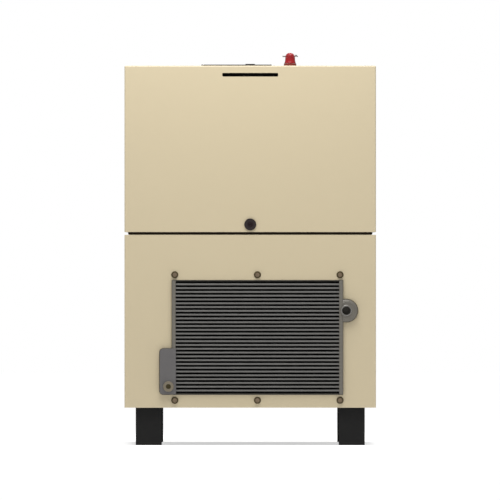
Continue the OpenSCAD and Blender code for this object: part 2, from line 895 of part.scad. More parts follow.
// Regulator, the inlet pipe through the rear panel and the feed to the mixer.
module gas_regulator() {
    y = 392;
    feed_z = 467;
    color("#a8a290") difference() {
        union() {
            box([gas_x - 35, y - 32, 185], [gas_x + 35, y + 32, 255]);
            rod_z([gas_x, y, 255], 46, 22);
            rod_y([gas_x, y + 30, 220], 18, hy + 12 - y - 30);
            rod_z([gas_x, y, 270], 9, feed_z - 270);
            translate([gas_x, y, feed_z]) sphere(9);
            rod_y([gas_x, 20, feed_z], 9, y - 20);
            translate([gas_x, 20, feed_z]) sphere(9);
            rod_x([-125, 20, feed_z], 9, gas_x + 125);
            translate([-125, 20, feed_z]) sphere(9);
            rod_z([-125, 20, feed_z], 9, 25);
            translate([-125, 20, 492]) sphere(9);
            rod_y([-125, -50, 492], 9, 70);
        }
        rod_y([gas_x, hy - 16, 220], 12.5, 40);
    }
}

// Log manifold with three stubs.
module exhaust_manifold() {
    color("#6d5a4c") {
        box([105, -290, 472], [145, -50, 512]);
        for (y = [-245, -170, -95])
            rod_x([head_x, y, 492], 17, 21);
    }
}

// Silencer across the rear, with its down pipe, tail pipe and brackets.
module muffler() {
    r = 24;
    bend = 50;
    tail_x = -180;
    tail_z = 440;
    can_r = 75;
    color("#8f8a84") difference() {
        union() {
            rod_x([-210, muffler_y, muffler_z], can_r, 420);
            rod_y([exhaust_x, -50, exhaust_z], r, muffler_y - bend + 50);
            elbow_yz([exhaust_x, muffler_y - bend, exhaust_z + bend], bend, r);
            rod_z([exhaust_x, muffler_y, exhaust_z + bend], r, muffler_z - can_r - exhaust_z - bend + 20);
            rod_z([tail_x, muffler_y, tail_z + bend], r, muffler_z - can_r - tail_z - bend + 20);
            mirror([0, 1, 0]) elbow_yz([tail_x, -muffler_y - bend, tail_z + bend], bend, r);
            rod_y([tail_x, muffler_y + bend, tail_z], r, hy + 15 - muffler_y - bend);
            rod_y([tail_x, hy + 3, tail_z], r + 1, 12);
            for (x = [-120, 40]) {
                box([x, muffler_y + 40, 512], [x + 30, rim_y - 2, 518]);
                box([x, muffler_y + 40, 512], [x + 30, muffler_y + 46, 600]);
            }
        }
        rod_x([-208, muffler_y, muffler_z], can_r - 2, 416);
        rod_z([tail_x, muffler_y, tail_z + bend], r - 2, muffler_z - tail_z - bend);
        mirror([0, 1, 0]) elbow_yz([tail_x, -muffler_y - bend, tail_z + bend], bend, r - 2);
        rod_y([tail_x, muffler_y + bend, tail_z], r - 2, hy + 60 - muffler_y - bend);
    }
}

// Starting battery on the pan, with two posts.
module battery() {
    color("#1f1f22") {
        box([-300, 348, pan_z], [-64, 478, 348]);
        for (x = [-272, -92])
            rod_z([x, 452, 348], 9, 15);
    }
}

// ---- Controls ----

box_x0 = 130;
box_x1 = 288;
box_y = 150;
box_z0 = 560;
box_z1 = 800;
toggle_x = 270;
toggle_y = -35;
switch_y = 60;
control_z = 700;

// Open steel box with the breaker inside, on brackets to the rim.
module control_box() {
    color("#8e8f8c") {
        difference() {
            box([box_x0, -box_y, box_z0], [box_x1, box_y, box_z1]);
            box([box_x0 + 2, 2 - box_y, box_z0 + 2], [box_x1 + 1, box_y - 2, box_z1 - 2]);
        }
        difference() {
            box([box_x0 + 1, toggle_y - 35, control_z - 60], [box_x1, toggle_y + 35, control_z + 60]);
            box([toggle_x - 16, toggle_y - 16, control_z - 38],
                [box_x1 + 1, toggle_y + 16, control_z + 38]);
        }
        rod_y([toggle_x, toggle_y - 18, control_z], 3, 36);
        for (y = [-110, 80]) {
            box([200, y, box_z0 - 5], [rim_x - 2, y + 30, box_z0]);
            box([rim_x - 6, y, 508], [rim_x - 2, y + 30, box_z0]);
        }
    }
}

module control_cover() {
    color("#9a9b98") difference() {
        box([box_x1, -box_y, box_z0], [box_x1 + 2, box_y, box_z1]);
        box([box_x1 - 1, toggle_y - 18, control_z - 36], [box_x1 + 3, toggle_y + 18, control_z + 36]);
        rod_x([box_x1 - 1, switch_y, control_z], 5 + fit, 4);
    }
}

// Breaker lever on its pivot, resting in the lower position.
module breaker_toggle() {
    color("#161616") difference() {
        translate([toggle_x, 0, control_z]) rotate([0, 25, 0]) union() {
            rod_y([0, toggle_y - 13, 0], 11, 26);
            box([0, toggle_y - 11, -6], [33, toggle_y + 11, 6]);
        }
        rod_y([toggle_x, toggle_y - 20, control_z], 3 + fit, 40);
    }
}

// Three-position knob on its shaft.
module mode_switch() {
    x = box_x1 + 2.4;
    color("#161616") {
        rod_x([x, switch_y, control_z], 15, 6);
        box([x, switch_y - 4, control_z - 15], [x + 14, switch_y + 4, control_z + 15]);
        rod_x([x - 20, switch_y, control_z], 5, 21);
    }
}

// Rod that swings up from the left rim to hold the hood open.
module prop_rod() {
    x = 5.5 - rim_x;
    z = 556;
    color("#b8b8b8") difference() {
        union() {
            rod_x([x, 40, z], 9, 12);
            rod_y([x + 6, 40, z], 5, 395);
            translate([x + 6, 435, z]) sphere(5);
        }
        rod_x([x - 1, 40, z], 4 + fit, 14);
    }
}

base_frame();
legs();
upper_frame();
rim_seal();
front_panel();
rear_panel();
left_side_panel();
right_side_panel();
hood();
vent_baffle();
hinge_lower_leaves();
hinge_upper_leaves();
hinge_pins();
hood_lock_body();
hood_lock_cam();
hatch_lid();
hatch_gasket();
hatch_hinge_leaf();
hatch_pin();
hatch_latch();
stop_base();
stop_head();
stop_ear_plate();
radiator_core();
radiator_frame();
radiator_screws();
inlet_boss();
drain_tank();
drain_plug();
fan_shroud();
fan();
fan_motor();
radiator_hoses();
isolators();
engine_block();
cylinder_head();
valve_cover();
oil_pan();
crankshaft();
crank_pulley();
water_pump_pulley();
drive_belt();
alternator_housing();
stator();
rotor();
starter_motor();
oil_filter();
dipstick();
oil_cap();
intake_manifold();
air_cleaner();
gas_regulator();
exhaust_manifold();
muffler();
battery();
control_box();
control_cover();
breaker_toggle();
mode_switch();
prop_rod();
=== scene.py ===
"""Home standby generator: the looks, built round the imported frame.

A tan sheet-metal cabinet on four legs, with a rear-hinged hood, a radiator in
the front panel, and an engine and alternator inside.
"""

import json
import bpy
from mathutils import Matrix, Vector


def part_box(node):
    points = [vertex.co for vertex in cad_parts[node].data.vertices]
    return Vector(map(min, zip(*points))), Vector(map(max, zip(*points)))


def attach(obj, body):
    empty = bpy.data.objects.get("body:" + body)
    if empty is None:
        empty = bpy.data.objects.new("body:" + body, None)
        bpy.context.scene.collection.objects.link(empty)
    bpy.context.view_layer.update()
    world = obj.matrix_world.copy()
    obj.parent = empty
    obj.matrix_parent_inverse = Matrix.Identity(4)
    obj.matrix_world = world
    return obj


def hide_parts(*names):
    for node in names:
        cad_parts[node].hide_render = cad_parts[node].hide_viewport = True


bl_info = {
    "name": "Home Standby Generator",
    "version": (1, 0, 0),
    "blender": (4, 5, 0),
    "location": "3D View > Sidebar > Generator",
    "description": "Builds an enclosed standby generator around its packed frame",
    "category": "Add Mesh",
}

from math import cos, pi, radians, sin

import bmesh
import bpy
from mathutils import Matrix, Vector

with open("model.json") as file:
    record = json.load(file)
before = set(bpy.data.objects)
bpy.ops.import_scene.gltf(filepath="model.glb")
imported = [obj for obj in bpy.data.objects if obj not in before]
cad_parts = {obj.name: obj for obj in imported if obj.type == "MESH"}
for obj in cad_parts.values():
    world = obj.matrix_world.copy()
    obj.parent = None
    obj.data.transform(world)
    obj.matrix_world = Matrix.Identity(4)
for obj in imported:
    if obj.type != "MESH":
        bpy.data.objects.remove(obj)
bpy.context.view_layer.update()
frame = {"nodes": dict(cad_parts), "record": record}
MM = 0.001
BODY_OF = {
    node: body
    for body, nodes in frame["record"]["behaviour"]["bodies"].items()
    for node in nodes
}
SLOT_OF = {part["node"]: part["material_slot"] for part in frame["record"]["subparts"]}
AXES = {"x": (1, 2, 0), "y": (2, 0, 1), "z": (0, 1, 2)}

SHEET = 2 * MM
FRONT_Y, REAR_Y = -0.5, 0.5
PANEL_GAP = 1 * MM
PAINTED_BOX = ((-0.315, -0.5, 0.094), (0.315, 0.5, 0.951))
SHAFT_Z = 0.29
BOSS_X = 241 * MM
STOP_AT = (100 * MM, -430 * MM)
LOCK_Z = 553 * MM
AIR_SLOT_Z = 928 * MM
SLOT_HEIGHT = 8 * MM
SLOT_PITCH = 22
CUT_DEPTH = 20 * MM
LOUVRE_INSET = 1.9 * MM
# Insets from the core's back of the black slab that paints the shade seen through the core.
CORE_SHADE_INSETS = (12 * MM, 4 * MM)
MUFFLER_R, AIR_CLEANER_R = 75 * MM, 61.5 * MM
DUST_COLOR = (0.33, 0.29, 0.23)
WEAR_SHARE = 0.25
BUMP_DEPTH = 0.0006
AIM_AT = (0, 0, 0.55)
CAMERA_X, CAMERA_Z = -0.0006, 0.489
SENSOR_WIDTH = 36
VIEW_WIDTH = 1.2525


# ---- Sizes and colours a user may change ----


class GeneratorLooks(bpy.types.PropertyGroup):
    """Colours and finishing sizes of the generator."""

    paint: bpy.props.FloatVectorProperty(
        name="Paint",
        description="Colour of the cabinet's powder coat",
        subtype="COLOR",
        size=3,
        min=0.0,
        max=1.0,
        default=(0.50, 0.425, 0.283),
    )
    black: bpy.props.FloatVectorProperty(
        name="Black coat",
        description="Colour of the legs and the base",
        subtype="COLOR",
        size=3,
        min=0.0,
        max=1.0,
        default=(0.010, 0.010, 0.010),
    )
    bar: bpy.props.FloatVectorProperty(
        name="Radiator bars",
        description="Colour of the bars on the radiator's face",
        subtype="COLOR",
        size=3,
        min=0.0,
        max=1.0,
        default=(0.138, 0.135, 0.128),
    )
    fold: bpy.props.FloatProperty(
        name="Fold radius",
        description="Outer radius of the folds in the cabinet's sheet",
        subtype="DISTANCE",
        unit="LENGTH",
        min=0.001,
        max=0.01,
        default=0.0035,
    )
    grain: bpy.props.FloatProperty(
        name="Paint grain",
        description="Depth of the powder coat's fine texture",
        min=0.0,
        max=1.0,
        default=0.35,
    )
    dust: bpy.props.FloatProperty(
        name="Dust",
        description="How much dust has settled on level faces",
        subtype="FACTOR",
        min=0.0,
        max=1.0,
        default=0.25,
    )
    lens: bpy.props.FloatProperty(
        name="Lens",
        description="Focal length of the long lens, in millimetres",
        min=100.0,
        max=5000.0,
        default=1500.0,
    )


# ---- Shader node groups ----


def new_group(name, inputs, outputs):
    """A shader node group with named sockets; returns the tree and its ends."""
    tree = bpy.data.node_groups.new(name, "ShaderNodeTree")
    for label, kind, value in inputs:
        socket = tree.interface.new_socket(label, in_out="INPUT", socket_type=kind)
        socket.default_value = value
    for label, kind in outputs:
        tree.interface.new_socket(label, in_out="OUTPUT", socket_type=kind)
    return tree, tree.nodes.new("NodeGroupInput"), tree.nodes.new("NodeGroupOutput")


def math_node(tree, operation, first, second=None):
    """A math node fed by sockets or plain numbers; returns its output."""
    node = tree.nodes.new("ShaderNodeMath")
    node.operation = operation
    for index, value in enumerate((first, second)):
        if value is None:
            continue
        if isinstance(value, (int, float)):
            node.inputs[index].default_value = value
        else:
            tree.links.new(value, node.inputs[index])
    return node.outputs[0]


def noise(tree, scale, detail=4.0, stretch=None):
    """Noise on object coordinates, stretched along the axes if asked."""
    place = tree.nodes.new("ShaderNodeTexCoord")
    node = tree.nodes.new("ShaderNodeTexNoise")
    node.inputs["Detail"].default_value = detail
    source = place.outputs["Object"]
    if stretch:
        mapping = tree.nodes.new("ShaderNodeMapping")
        mapping.inputs["Scale"].default_value = stretch
        tree.links.new(source, mapping.inputs["Vector"])
        source = mapping.outputs["Vector"]
    tree.links.new(source, node.inputs["Vector"])
    if isinstance(scale, (int, float)):
        node.inputs["Scale"].default_value = scale
    else:
        tree.links.new(scale, node.inputs["Scale"])
    return node.outputs["Fac"]


def make_mottle():
    """Varies a colour towards a second one in soft patches of two sizes."""
    tree, start, end = new_group(
        "Mottle",
        [
            ("Color", "NodeSocketColor", (1, 1, 1, 1)),
            ("Other Color", "NodeSocketColor", (0, 0, 0, 1)),
            ("Scale", "NodeSocketFloat", 6.0),
            ("Amount", "NodeSocketFloat", 0.2),
        ],
        [("Color", "NodeSocketColor")],
    )
    broad = noise(tree, start.outputs["Scale"], 3.0)
    fine_scale = math_node(tree, "MULTIPLY", start.outputs["Scale"], 14.0)
    fine = noise(tree, fine_scale, 5.0)
    both = math_node(tree, "ADD", math_node(tree, "MULTIPLY", broad, 1.4), fine)
    centred = math_node(tree, "SUBTRACT", both, 0.85)
    amount = math_node(tree, "MULTIPLY", centred, start.outputs["Amount"])
    mixed = mix_color(tree, amount, start.outputs["Color"], start.outputs["Other Color"])
    tree.links.new(mixed, end.inputs["Color"])
    return tree


def make_grain():
    """Height of a fine surface texture, such as powder coat or a casting."""
    tree, start, end = new_group(
        "Grain",
        [("Scale", "NodeSocketFloat", 600.0), ("Coarse", "NodeSocketFloat", 0.3)],
        [("Height", "NodeSocketFloat")],
    )
    fine = noise(tree, start.outputs["Scale"], 2.0)
    coarse_scale = math_node(tree, "MULTIPLY", start.outputs["Scale"], 0.18)
    coarse = noise(tree, coarse_scale, 3.0)
    weighted = math_node(tree, "MULTIPLY", coarse, start.outputs["Coarse"])
    tree.links.new(math_node(tree, "ADD", fine, weighted), end.inputs["Height"])
    return tree


def make_dust():
    """Mask of settled dust: level faces that look up, broken by noise."""
    tree, start, end = new_group(
        "Settled Dust",
        [("Amount", "NodeSocketFloat", 0.3), ("Scale", "NodeSocketFloat", 30.0)],
        [("Mask", "NodeSocketFloat")],
    )
    geometry = tree.nodes.new("ShaderNodeNewGeometry")
    parts = tree.nodes.new("ShaderNodeSeparateXYZ")
    tree.links.new(geometry.outputs["Normal"], parts.inputs[0])
    level = math_node(tree, "MAXIMUM", parts.outputs["Z"], 0.0)
    level = math_node(tree, "POWER", level, 3.0)
    patches = noise(tree, start.outputs["Scale"], 6.0)
    patches = math_node(tree, "MULTIPLY", patches, 1.5)
    mask = math_node(tree, "MULTIPLY", level, patches)
    mask = math_node(tree, "MULTIPLY", mask, start.outputs["Amount"])
    tree.links.new(math_node(tree, "MINIMUM", mask, 0.9), end.inputs["Mask"])
    return tree


def make_edge_band():
    """Mask of a worn band along the edges of a box between two corners."""
    tree, start, end = new_group(
        "Edge Band",
        [
            ("Low", "NodeSocketVector", (0, 0, 0)),
            ("High", "NodeSocketVector", (1, 1, 1)),
            ("Width", "NodeSocketFloat", 0.01),
        ],
        [("Mask", "NodeSocketFloat")],
    )
    place = tree.nodes.new("ShaderNodeTexCoord")
    sides = []
    for first, second in (
        (place.outputs["Object"], start.outputs["Low"]),
        (start.outputs["High"], place.outputs["Object"]),
    ):
        node = tree.nodes.new("ShaderNodeVectorMath")
        node.operation = "SUBTRACT"
        tree.links.new(first, node.inputs[0])
        tree.links.new(second, node.inputs[1])
        sides.append(node.outputs[0])
    nearest = tree.nodes.new("ShaderNodeVectorMath")
    nearest.operation = "MINIMUM"
    tree.links.new(sides[0], nearest.inputs[0])
    tree.links.new(sides[1], nearest.inputs[1])
    parts = tree.nodes.new("ShaderNodeSeparateXYZ")
    tree.links.new(nearest.outputs[0], parts.inputs[0])
    x, y, z = (parts.outputs[i] for i in range(3))
    low_xy = math_node(tree, "MINIMUM", x, y)
    high_xy = math_node(tree, "MAXIMUM", x, y)
    middle = math_node(tree, "MAXIMUM", low_xy, math_node(tree, "MINIMUM", high_xy, z))
    ragged = math_node(tree, "MULTIPLY", noise(tree, 90.0, 6.0), 1.6)
    band = math_node(tree, "DIVIDE", middle, start.outputs["Width"])
    band = math_node(tree, "ADD", band, ragged)
    mask = math_node(tree, "SUBTRACT", 1.6, band)
    tree.links.new(math_node(tree, "MAXIMUM", mask, 0.0), end.inputs["Mask"])
    return tree


def make_streaks():
    """Fine lines along one axis, as brushing or drawing leaves on metal."""
    tree, start, end = new_group(
        "Streaks",
        [
            ("Scale", "NodeSocketFloat", 120.0),
            ("Low", "NodeSocketFloat", 0.3),
            ("High", "NodeSocketFloat", 0.5),
        ],
        [("Value", "NodeSocketFloat")],
    )
    lines = noise(tree, start.outputs["Scale"], 3.0, (1.0, 0.05, 1.0))
    span = math_node(tree, "SUBTRACT", start.outputs["High"], start.outputs["Low"])
    value = math_node(tree, "ADD", math_node(tree, "MULTIPLY", lines, span), start.outputs["Low"])
    tree.links.new(value, end.inputs["Value"])
    return tree


GROUP_MAKERS = {
    "Mottle": make_mottle,
    "Grain": make_grain,
    "Settled Dust": make_dust,
    "Edge Band": make_edge_band,
    "Streaks": make_streaks,
}


def use_group(tree, name, **values):
    """Places a shared group in a material, with its inputs set by name."""
    group = bpy.data.node_groups.get(name) or GROUP_MAKERS[name]()
    node = tree.nodes.new("ShaderNodeGroup")
    node.node_tree = group
    for label, value in values.items():
        socket = node.inputs[label.replace("_", " ")]
        if isinstance(value, bpy.types.NodeSocket):
            tree.links.new(value, socket)
        else:
            socket.default_value = value
    return node


def mix_color(tree, factor, first, second):
    """Mixes two colours, given as sockets or values, and returns the output."""
    mix = tree.nodes.new("ShaderNodeMix")
    mix.data_type = "RGBA"
    for socket, value in ((mix.inputs[0], factor), (mix.inputs[6], first), (mix.inputs[7], second)):
        if isinstance(value, bpy.types.NodeSocket):
            tree.links.new(value, socket)
        elif isinstance(value, (int, float)):
            socket.default_value = value
        else:
            socket.default_value = (*value[:3], 1.0)
    return mix.outputs[2]


def surface(name, color, other=None, metallic=0.0, roughness=(0.4, 0.55), vary=0.25, scale=6.0,
            grain=(600.0, 0.3, 0.15), streak=0.0, dust=0.0, wear=None, wear_color=(0.5, 0.5, 0.5),
            coat=0.0, ior=1.5):
    """A material from shared groups: mottled colour, grain, streaks, dust and edge wear."""
    name = "finish_" + name
    found = bpy.data.materials.get(name)
    if found:
        return found
    material = bpy.data.materials.new(name)
    material.use_nodes = True
    tree = material.node_tree
    shader = tree.nodes["Principled BSDF"]
    other = other or tuple(channel * 0.6 for channel in color)
    mottle = use_group(
        tree, "Mottle", Color=(*color, 1.0), Other_Color=(*other, 1.0), Scale=scale, Amount=vary
    )
    result = mottle.outputs["Color"]
    if wear:
        low, high, width = wear
        band = use_group(tree, "Edge Band", Low=low, High=high, Width=width)
        worn = math_node(tree, "MULTIPLY", band.outputs["Mask"], WEAR_SHARE)
        result = mix_color(tree, worn, result, wear_color)
    if dust:
        settled = use_group(tree, "Settled Dust", Amount=dust, Scale=24.0)
        result = mix_color(tree, settled.outputs["Mask"], result, DUST_COLOR)
    tree.links.new(result, shader.inputs["Base Color"])
    if streak:
        lines = use_group(tree, "Streaks", Scale=streak, Low=roughness[0], High=roughness[1])
        tree.links.new(lines.outputs["Value"], shader.inputs["Roughness"])
    else:
        patches = noise(tree, 35.0, 5.0)
        span = roughness[1] - roughness[0]
        value = math_node(tree, "ADD", math_node(tree, "MULTIPLY", patches, span), roughness[0])
        tree.links.new(value, shader.inputs["Roughness"])
    texture = use_group(tree, "Grain", Scale=grain[0], Coarse=grain[1])
    bump = tree.nodes.new("ShaderNodeBump")
    bump.inputs["Strength"].default_value = grain[2]
    bump.inputs["Distance"].default_value = BUMP_DEPTH
    tree.links.new(texture.outputs["Height"], bump.inputs["Height"])
    tree.links.new(bump.outputs["Normal"], shader.inputs["Normal"])
    shader.inputs["Metallic"].default_value = metallic
    shader.inputs["Coat Weight"].default_value = coat
    shader.inputs["IOR"].default_value = ior
    return material


# ---- Materials, one function each ----


def looks():
    return bpy.context.scene.generator_looks


def tan_paint():
    return surface(
        "tan_paint", tuple(looks().paint), (0.44, 0.37, 0.245), roughness=(0.42, 0.56), vary=0.12,
        scale=3.0, grain=(900.0, 0.5, looks().grain), dust=looks().dust, wear=(*PAINTED_BOX, 0.004),
        wear_color=(0.66, 0.57, 0.42)
    )


def black_coat():
    return surface(
        "black_coat", tuple(looks().black), (0.02, 0.019, 0.018), roughness=(0.45, 0.62), vary=0.3,
        grain=(700.0, 0.6, 0.4), dust=0.3, ior=1.22
    )


# Brown-black rubber for the seals, gasket, isolators and belt; on the rim seal this brown-black
# also paints the shade in the seam under the hood.
def seal_rubber():
    return surface(
        "seal_rubber", (0.020, 0.012, 0.005), (0.035, 0.024, 0.014), roughness=(0.6, 0.8),
        grain=(500.0, 0.8, 0.35), dust=0.2, ior=1.3
    )


def zinc_steel():
    return surface(
        "zinc_steel", (0.44, 0.44, 0.42), (0.30, 0.29, 0.26), metallic=1.0, roughness=(0.28, 0.5),
        vary=0.5, scale=40.0, grain=(900.0, 0.4, 0.12)
    )


def lock_plastic():
    return surface(
        "lock_plastic", (0.022, 0.016, 0.016), (0.034, 0.026, 0.026), roughness=(0.32, 0.48),
        grain=(800.0, 0.4, 0.15), ior=1.3
    )


def lock_core():
    return surface(
        "lock_core", (0.018, 0.010, 0.012), (0.05, 0.035, 0.035), metallic=0.3,
        roughness=(0.3, 0.45), grain=(900.0, 0.4, 0.1), ior=1.3
    )


def hatch_black():
    return surface(
        "hatch_black", (0.016, 0.015, 0.013), (0.034, 0.032, 0.028), roughness=(0.5, 0.65),
        grain=(600.0, 0.8, 0.5), dust=0.35, ior=1.3
    )


def stop_red():
    return surface(
        "stop_red", (0.235, 0.006, 0.009), (0.165, 0.005, 0.007), roughness=(0.3, 0.42), vary=0.3,
        grain=(1200.0, 0.3, 0.08), coat=0.15, ior=1.35
    )


# Painted shade: the collar's dark brown-red stands in for the shade at the foot of the red button,
# where it meets the roof.
def stop_shaded_brown():
    return surface(
        "stop_shaded_brown", (0.16, 0.026, 0.018), (0.09, 0.018, 0.012), roughness=(0.45, 0.6),
        grain=(700.0, 0.5, 0.2), ior=1.35
    )


def ear_steel():
    return surface(
        "ear_steel", (0.25, 0.235, 0.23), (0.14, 0.13, 0.13), metallic=0.85, roughness=(0.35, 0.5),
        vary=0.5, scale=60.0, grain=(900.0, 0.3, 0.1)
    )


def bar_metal():
    return surface(
        "bar_metal", tuple(looks().bar), (0.09, 0.088, 0.083), metallic=0.35, roughness=(0.42, 0.6),
        vary=0.45, scale=30.0, grain=(800.0, 0.5, 0.2), streak=60.0
    )


def fin_metal():
    return surface(
        "fin_metal", (0.010, 0.010, 0.010), (0.02, 0.02, 0.018), metallic=0.2, roughness=(0.6, 0.8),
        grain=(800.0, 0.5, 0.2)
    )


def tank_paint():
    return surface(
        "tank_paint", (0.134, 0.123, 0.103), (0.105, 0.098, 0.086), metallic=0.15,
        roughness=(0.42, 0.58), vary=0.4, scale=25.0, grain=(700.0, 0.6, 0.25)
    )


def bracket_paint():
    return surface(
        "bracket_paint", (0.108, 0.103, 0.103), (0.07, 0.066, 0.068), metallic=0.15,
        roughness=(0.42, 0.58), vary=0.35, scale=25.0, grain=(700.0, 0.6, 0.25)
    )


# Painted highlight: the raised ring round the port is a real ring, coloured lighter than the boss
# to stand in for the light on it.
def port_rim_highlight():
    return surface(
        "port_rim_highlight", (0.18, 0.172, 0.16), (0.13, 0.122, 0.11), metallic=0.4, roughness=(0.32, 0.48),
        vary=0.4, scale=50.0, grain=(800.0, 0.4, 0.12)
    )


# Painted shade: the screw metal darkened, standing in for the shade on the flanges and the heads'
# sides.
def screw_shaded_steel():
    return surface(
        "screw_shaded_steel", (0.085, 0.064, 0.032), (0.05, 0.037, 0.02), metallic=0.5,
        roughness=(0.34, 0.5), vary=0.5, scale=70.0, grain=(900.0, 0.4, 0.12), ior=1.35
    )


# Painted highlight: a lighter copy of the screw metal for the lit front face of the head.
def screw_lit_face():
    return surface(
        "screw_lit_face", (0.19, 0.138, 0.09), (0.115, 0.083, 0.052), metallic=0.6,
        roughness=(0.3, 0.46), vary=0.5, scale=90.0, grain=(900.0, 0.4, 0.12)
    )


def washer_beige():
    return surface(
        "washer_beige", (0.205, 0.175, 0.126), (0.14, 0.118, 0.082), metallic=0.5,
        roughness=(0.35, 0.5), vary=0.5, scale=60.0, grain=(900.0, 0.4, 0.12)
    )


def dull_brass():
    return surface(
        "dull_brass", (0.085, 0.07, 0.034), (0.05, 0.04, 0.025), metallic=0.9,
        roughness=(0.35, 0.55), vary=0.6, scale=90.0, grain=(900.0, 0.4, 0.12)
    )


def fan_plastic():
    return surface(
        "fan_plastic", (0.016, 0.016, 0.017), (0.035, 0.033, 0.03), roughness=(0.42, 0.6),
        grain=(600.0, 0.4, 0.2), dust=0.4
    )


def hose_rubber():
    return surface(
        "hose_rubber", (0.014, 0.014, 0.014), (0.035, 0.034, 0.032), roughness=(0.5, 0.7),
        grain=(450.0, 0.9, 0.5), dust=0.3, streak=200.0
    )


def cast_iron():
    return surface(
        "cast_iron", (0.055, 0.06, 0.065), (0.09, 0.088, 0.08), metallic=0.25,
        roughness=(0.48, 0.7), vary=0.6, scale=18.0, grain=(260.0, 1.0, 0.9), dust=0.35
    )


def cast_aluminium():
    return surface(
        "cast_aluminium", (0.34, 0.34, 0.335), (0.20, 0.195, 0.18), metallic=0.85,
        roughness=(0.42, 0.62), vary=0.5, scale=20.0, grain=(300.0, 0.9, 0.6), dust=0.25
    )


def wrinkle_black():
    return surface(
        "wrinkle_black", (0.02, 0.021, 0.023), (0.04, 0.04, 0.04), roughness=(0.4, 0.6), vary=0.4,
        grain=(340.0, 1.2, 1.0), dust=0.35
    )


def machined_steel():
    return surface(
        "machined_steel", (0.42, 0.42, 0.42), (0.28, 0.27, 0.25), metallic=1.0,
        roughness=(0.22, 0.42), vary=0.5, scale=30.0, grain=(900.0, 0.3, 0.1), streak=300.0
    )


def alternator_paint():
    return surface(
        "alternator_paint", (0.085, 0.10, 0.12), (0.06, 0.068, 0.078), metallic=0.2,
        roughness=(0.4, 0.58), vary=0.5, scale=14.0, grain=(300.0, 0.9, 0.6), dust=0.4
    )


def copper_windings():
    return surface(
        "copper_windings", (0.30, 0.11, 0.045), (0.14, 0.05, 0.02), metallic=0.8,
        roughness=(0.3, 0.5), vary=0.7, scale=80.0, grain=(300.0, 0.9, 0.6), streak=500.0
    )


def filter_paint():
    return surface(
        "filter_paint", (0.56, 0.56, 0.55), (0.44, 0.43, 0.41), roughness=(0.22, 0.34), vary=0.3,
        grain=(900.0, 0.3, 0.08), coat=0.3, dust=0.3
    )


def yellow_plastic():
    return surface(
        "yellow_plastic", (0.62, 0.38, 0.03), (0.45, 0.26, 0.02), roughness=(0.32, 0.45), vary=0.3,
        grain=(900.0, 0.3, 0.08), coat=0.2
    )


def aluminised_steel():
    return surface(
        "aluminised_steel", (0.30, 0.285, 0.26), (0.17, 0.13, 0.09), metallic=0.95,
        roughness=(0.3, 0.52), vary=0.9, scale=9.0, grain=(500.0, 0.6, 0.25), streak=90.0, dust=0.25
    )


def scaled_iron():
    return surface(
        "scaled_iron", (0.13, 0.085, 0.06), (0.20, 0.10, 0.05), metallic=0.35,
        roughness=(0.6, 0.85), vary=0.9, scale=22.0, grain=(240.0, 1.2, 0.9)
    )


def battery_case():
    return surface(
        "battery_case", (0.018, 0.018, 0.02), (0.04, 0.04, 0.042), roughness=(0.35, 0.5), vary=0.3,
        grain=(500.0, 0.5, 0.25), dust=0.4
    )


def control_grey():
    return surface(
        "control_grey", (0.30, 0.305, 0.295), (0.24, 0.24, 0.23), roughness=(0.38, 0.5), vary=0.25,
        grain=(700.0, 0.6, 0.35), dust=0.25
    )


# ---- Mesh helpers ----


def mm(pairs):
    """Pairs given in millimetres, turned into metres."""
    return [(first * MM, second * MM) for first, second in pairs]


def keep(mesh, name):
    """Links a mesh as an object at the origin."""
    piece = bpy.data.objects.new(name, mesh)
    bpy.context.scene.collection.objects.link(piece)
    return piece


def from_bmesh(bm, name):
    mesh = bpy.data.meshes.new(name)
    bm.to_mesh(mesh)
    bm.free()
    return keep(mesh, name)


def settle(piece, angle=35.0):
    """Applies live modifiers and gives flats flat, and rounds smooth, shading."""
    for polygon in piece.data.polygons:
        polygon.use_smooth = True
    piece.data.set_sharp_from_angle(angle=radians(angle))
    weighted = piece.modifiers.new("Weighted", "WEIGHTED_NORMAL")
    weighted.keep_sharp = True
    apply_modifiers(piece)
    return piece


def apply_modifiers(piece):
    """Turns a piece's evaluated shape into its own plain mesh."""
    graph = bpy.context.evaluated_depsgraph_get()
    graph.update()
    mesh = bpy.data.meshes.new_from_object(piece.evaluated_get(graph))
    piece.modifiers.clear()
    old = piece.data
    piece.data = mesh
    bpy.data.meshes.remove(old)
    return piece


def set_material(piece, material):
    piece.data.materials.clear()
    piece.data.materials.append(material)
    for polygon in piece.data.polygons:
        polygon.material_index = 0
    return piece


def finish_piece(piece, material, body, slot, *replaced):
    """Gives a finished piece its material and body, and hides the nodes it replaces; the slot is
    not used.
    """
    set_material(piece, material)
    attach(piece, body)
    if replaced:
        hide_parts(*replaced)
    return piece


def rounded_copy(node, material, width, segments=2, name=None, angle=35.0):
    """A copy of a node's shape with its sharp edges rounded, standing for it."""
    mesh = frame["nodes"][node].data.copy()
    bm = bmesh.new()
    bm.from_mesh(mesh)
    bpy.data.meshes.remove(mesh)
    bmesh.ops.remove_doubles(bm, verts=bm.verts, dist=2e-6)
    bmesh.ops.dissolve_limit(bm, angle_limit=radians(0.6), verts=bm.verts, edges=bm.edges)
    piece = from_bmesh(bm, name or node + ".rounded")
    if width:
        bevel = piece.modifiers.new("Bevel", "BEVEL")
        bevel.width = width
        bevel.segments = segments
        bevel.limit_method = "ANGLE"
        bevel.angle_limit = radians(32)
        apply_modifiers(piece)
    settle(piece, angle)
    return finish_piece(piece, material, BODY_OF[node], SLOT_OF[node], node)


def plain_box(low, high):
    """A bmesh of a box between two corners."""
    low, high = Vector(low), Vector(high)
    bm = bmesh.new()
    bmesh.ops.create_cube(bm, size=1.0)
    for vert in bm.verts:
        share = vert.co + Vector((0.5, 0.5, 0.5))
        vert.co = Vector([low[i] + share[i] * (high[i] - low[i]) for i in range(3)])
    return bm


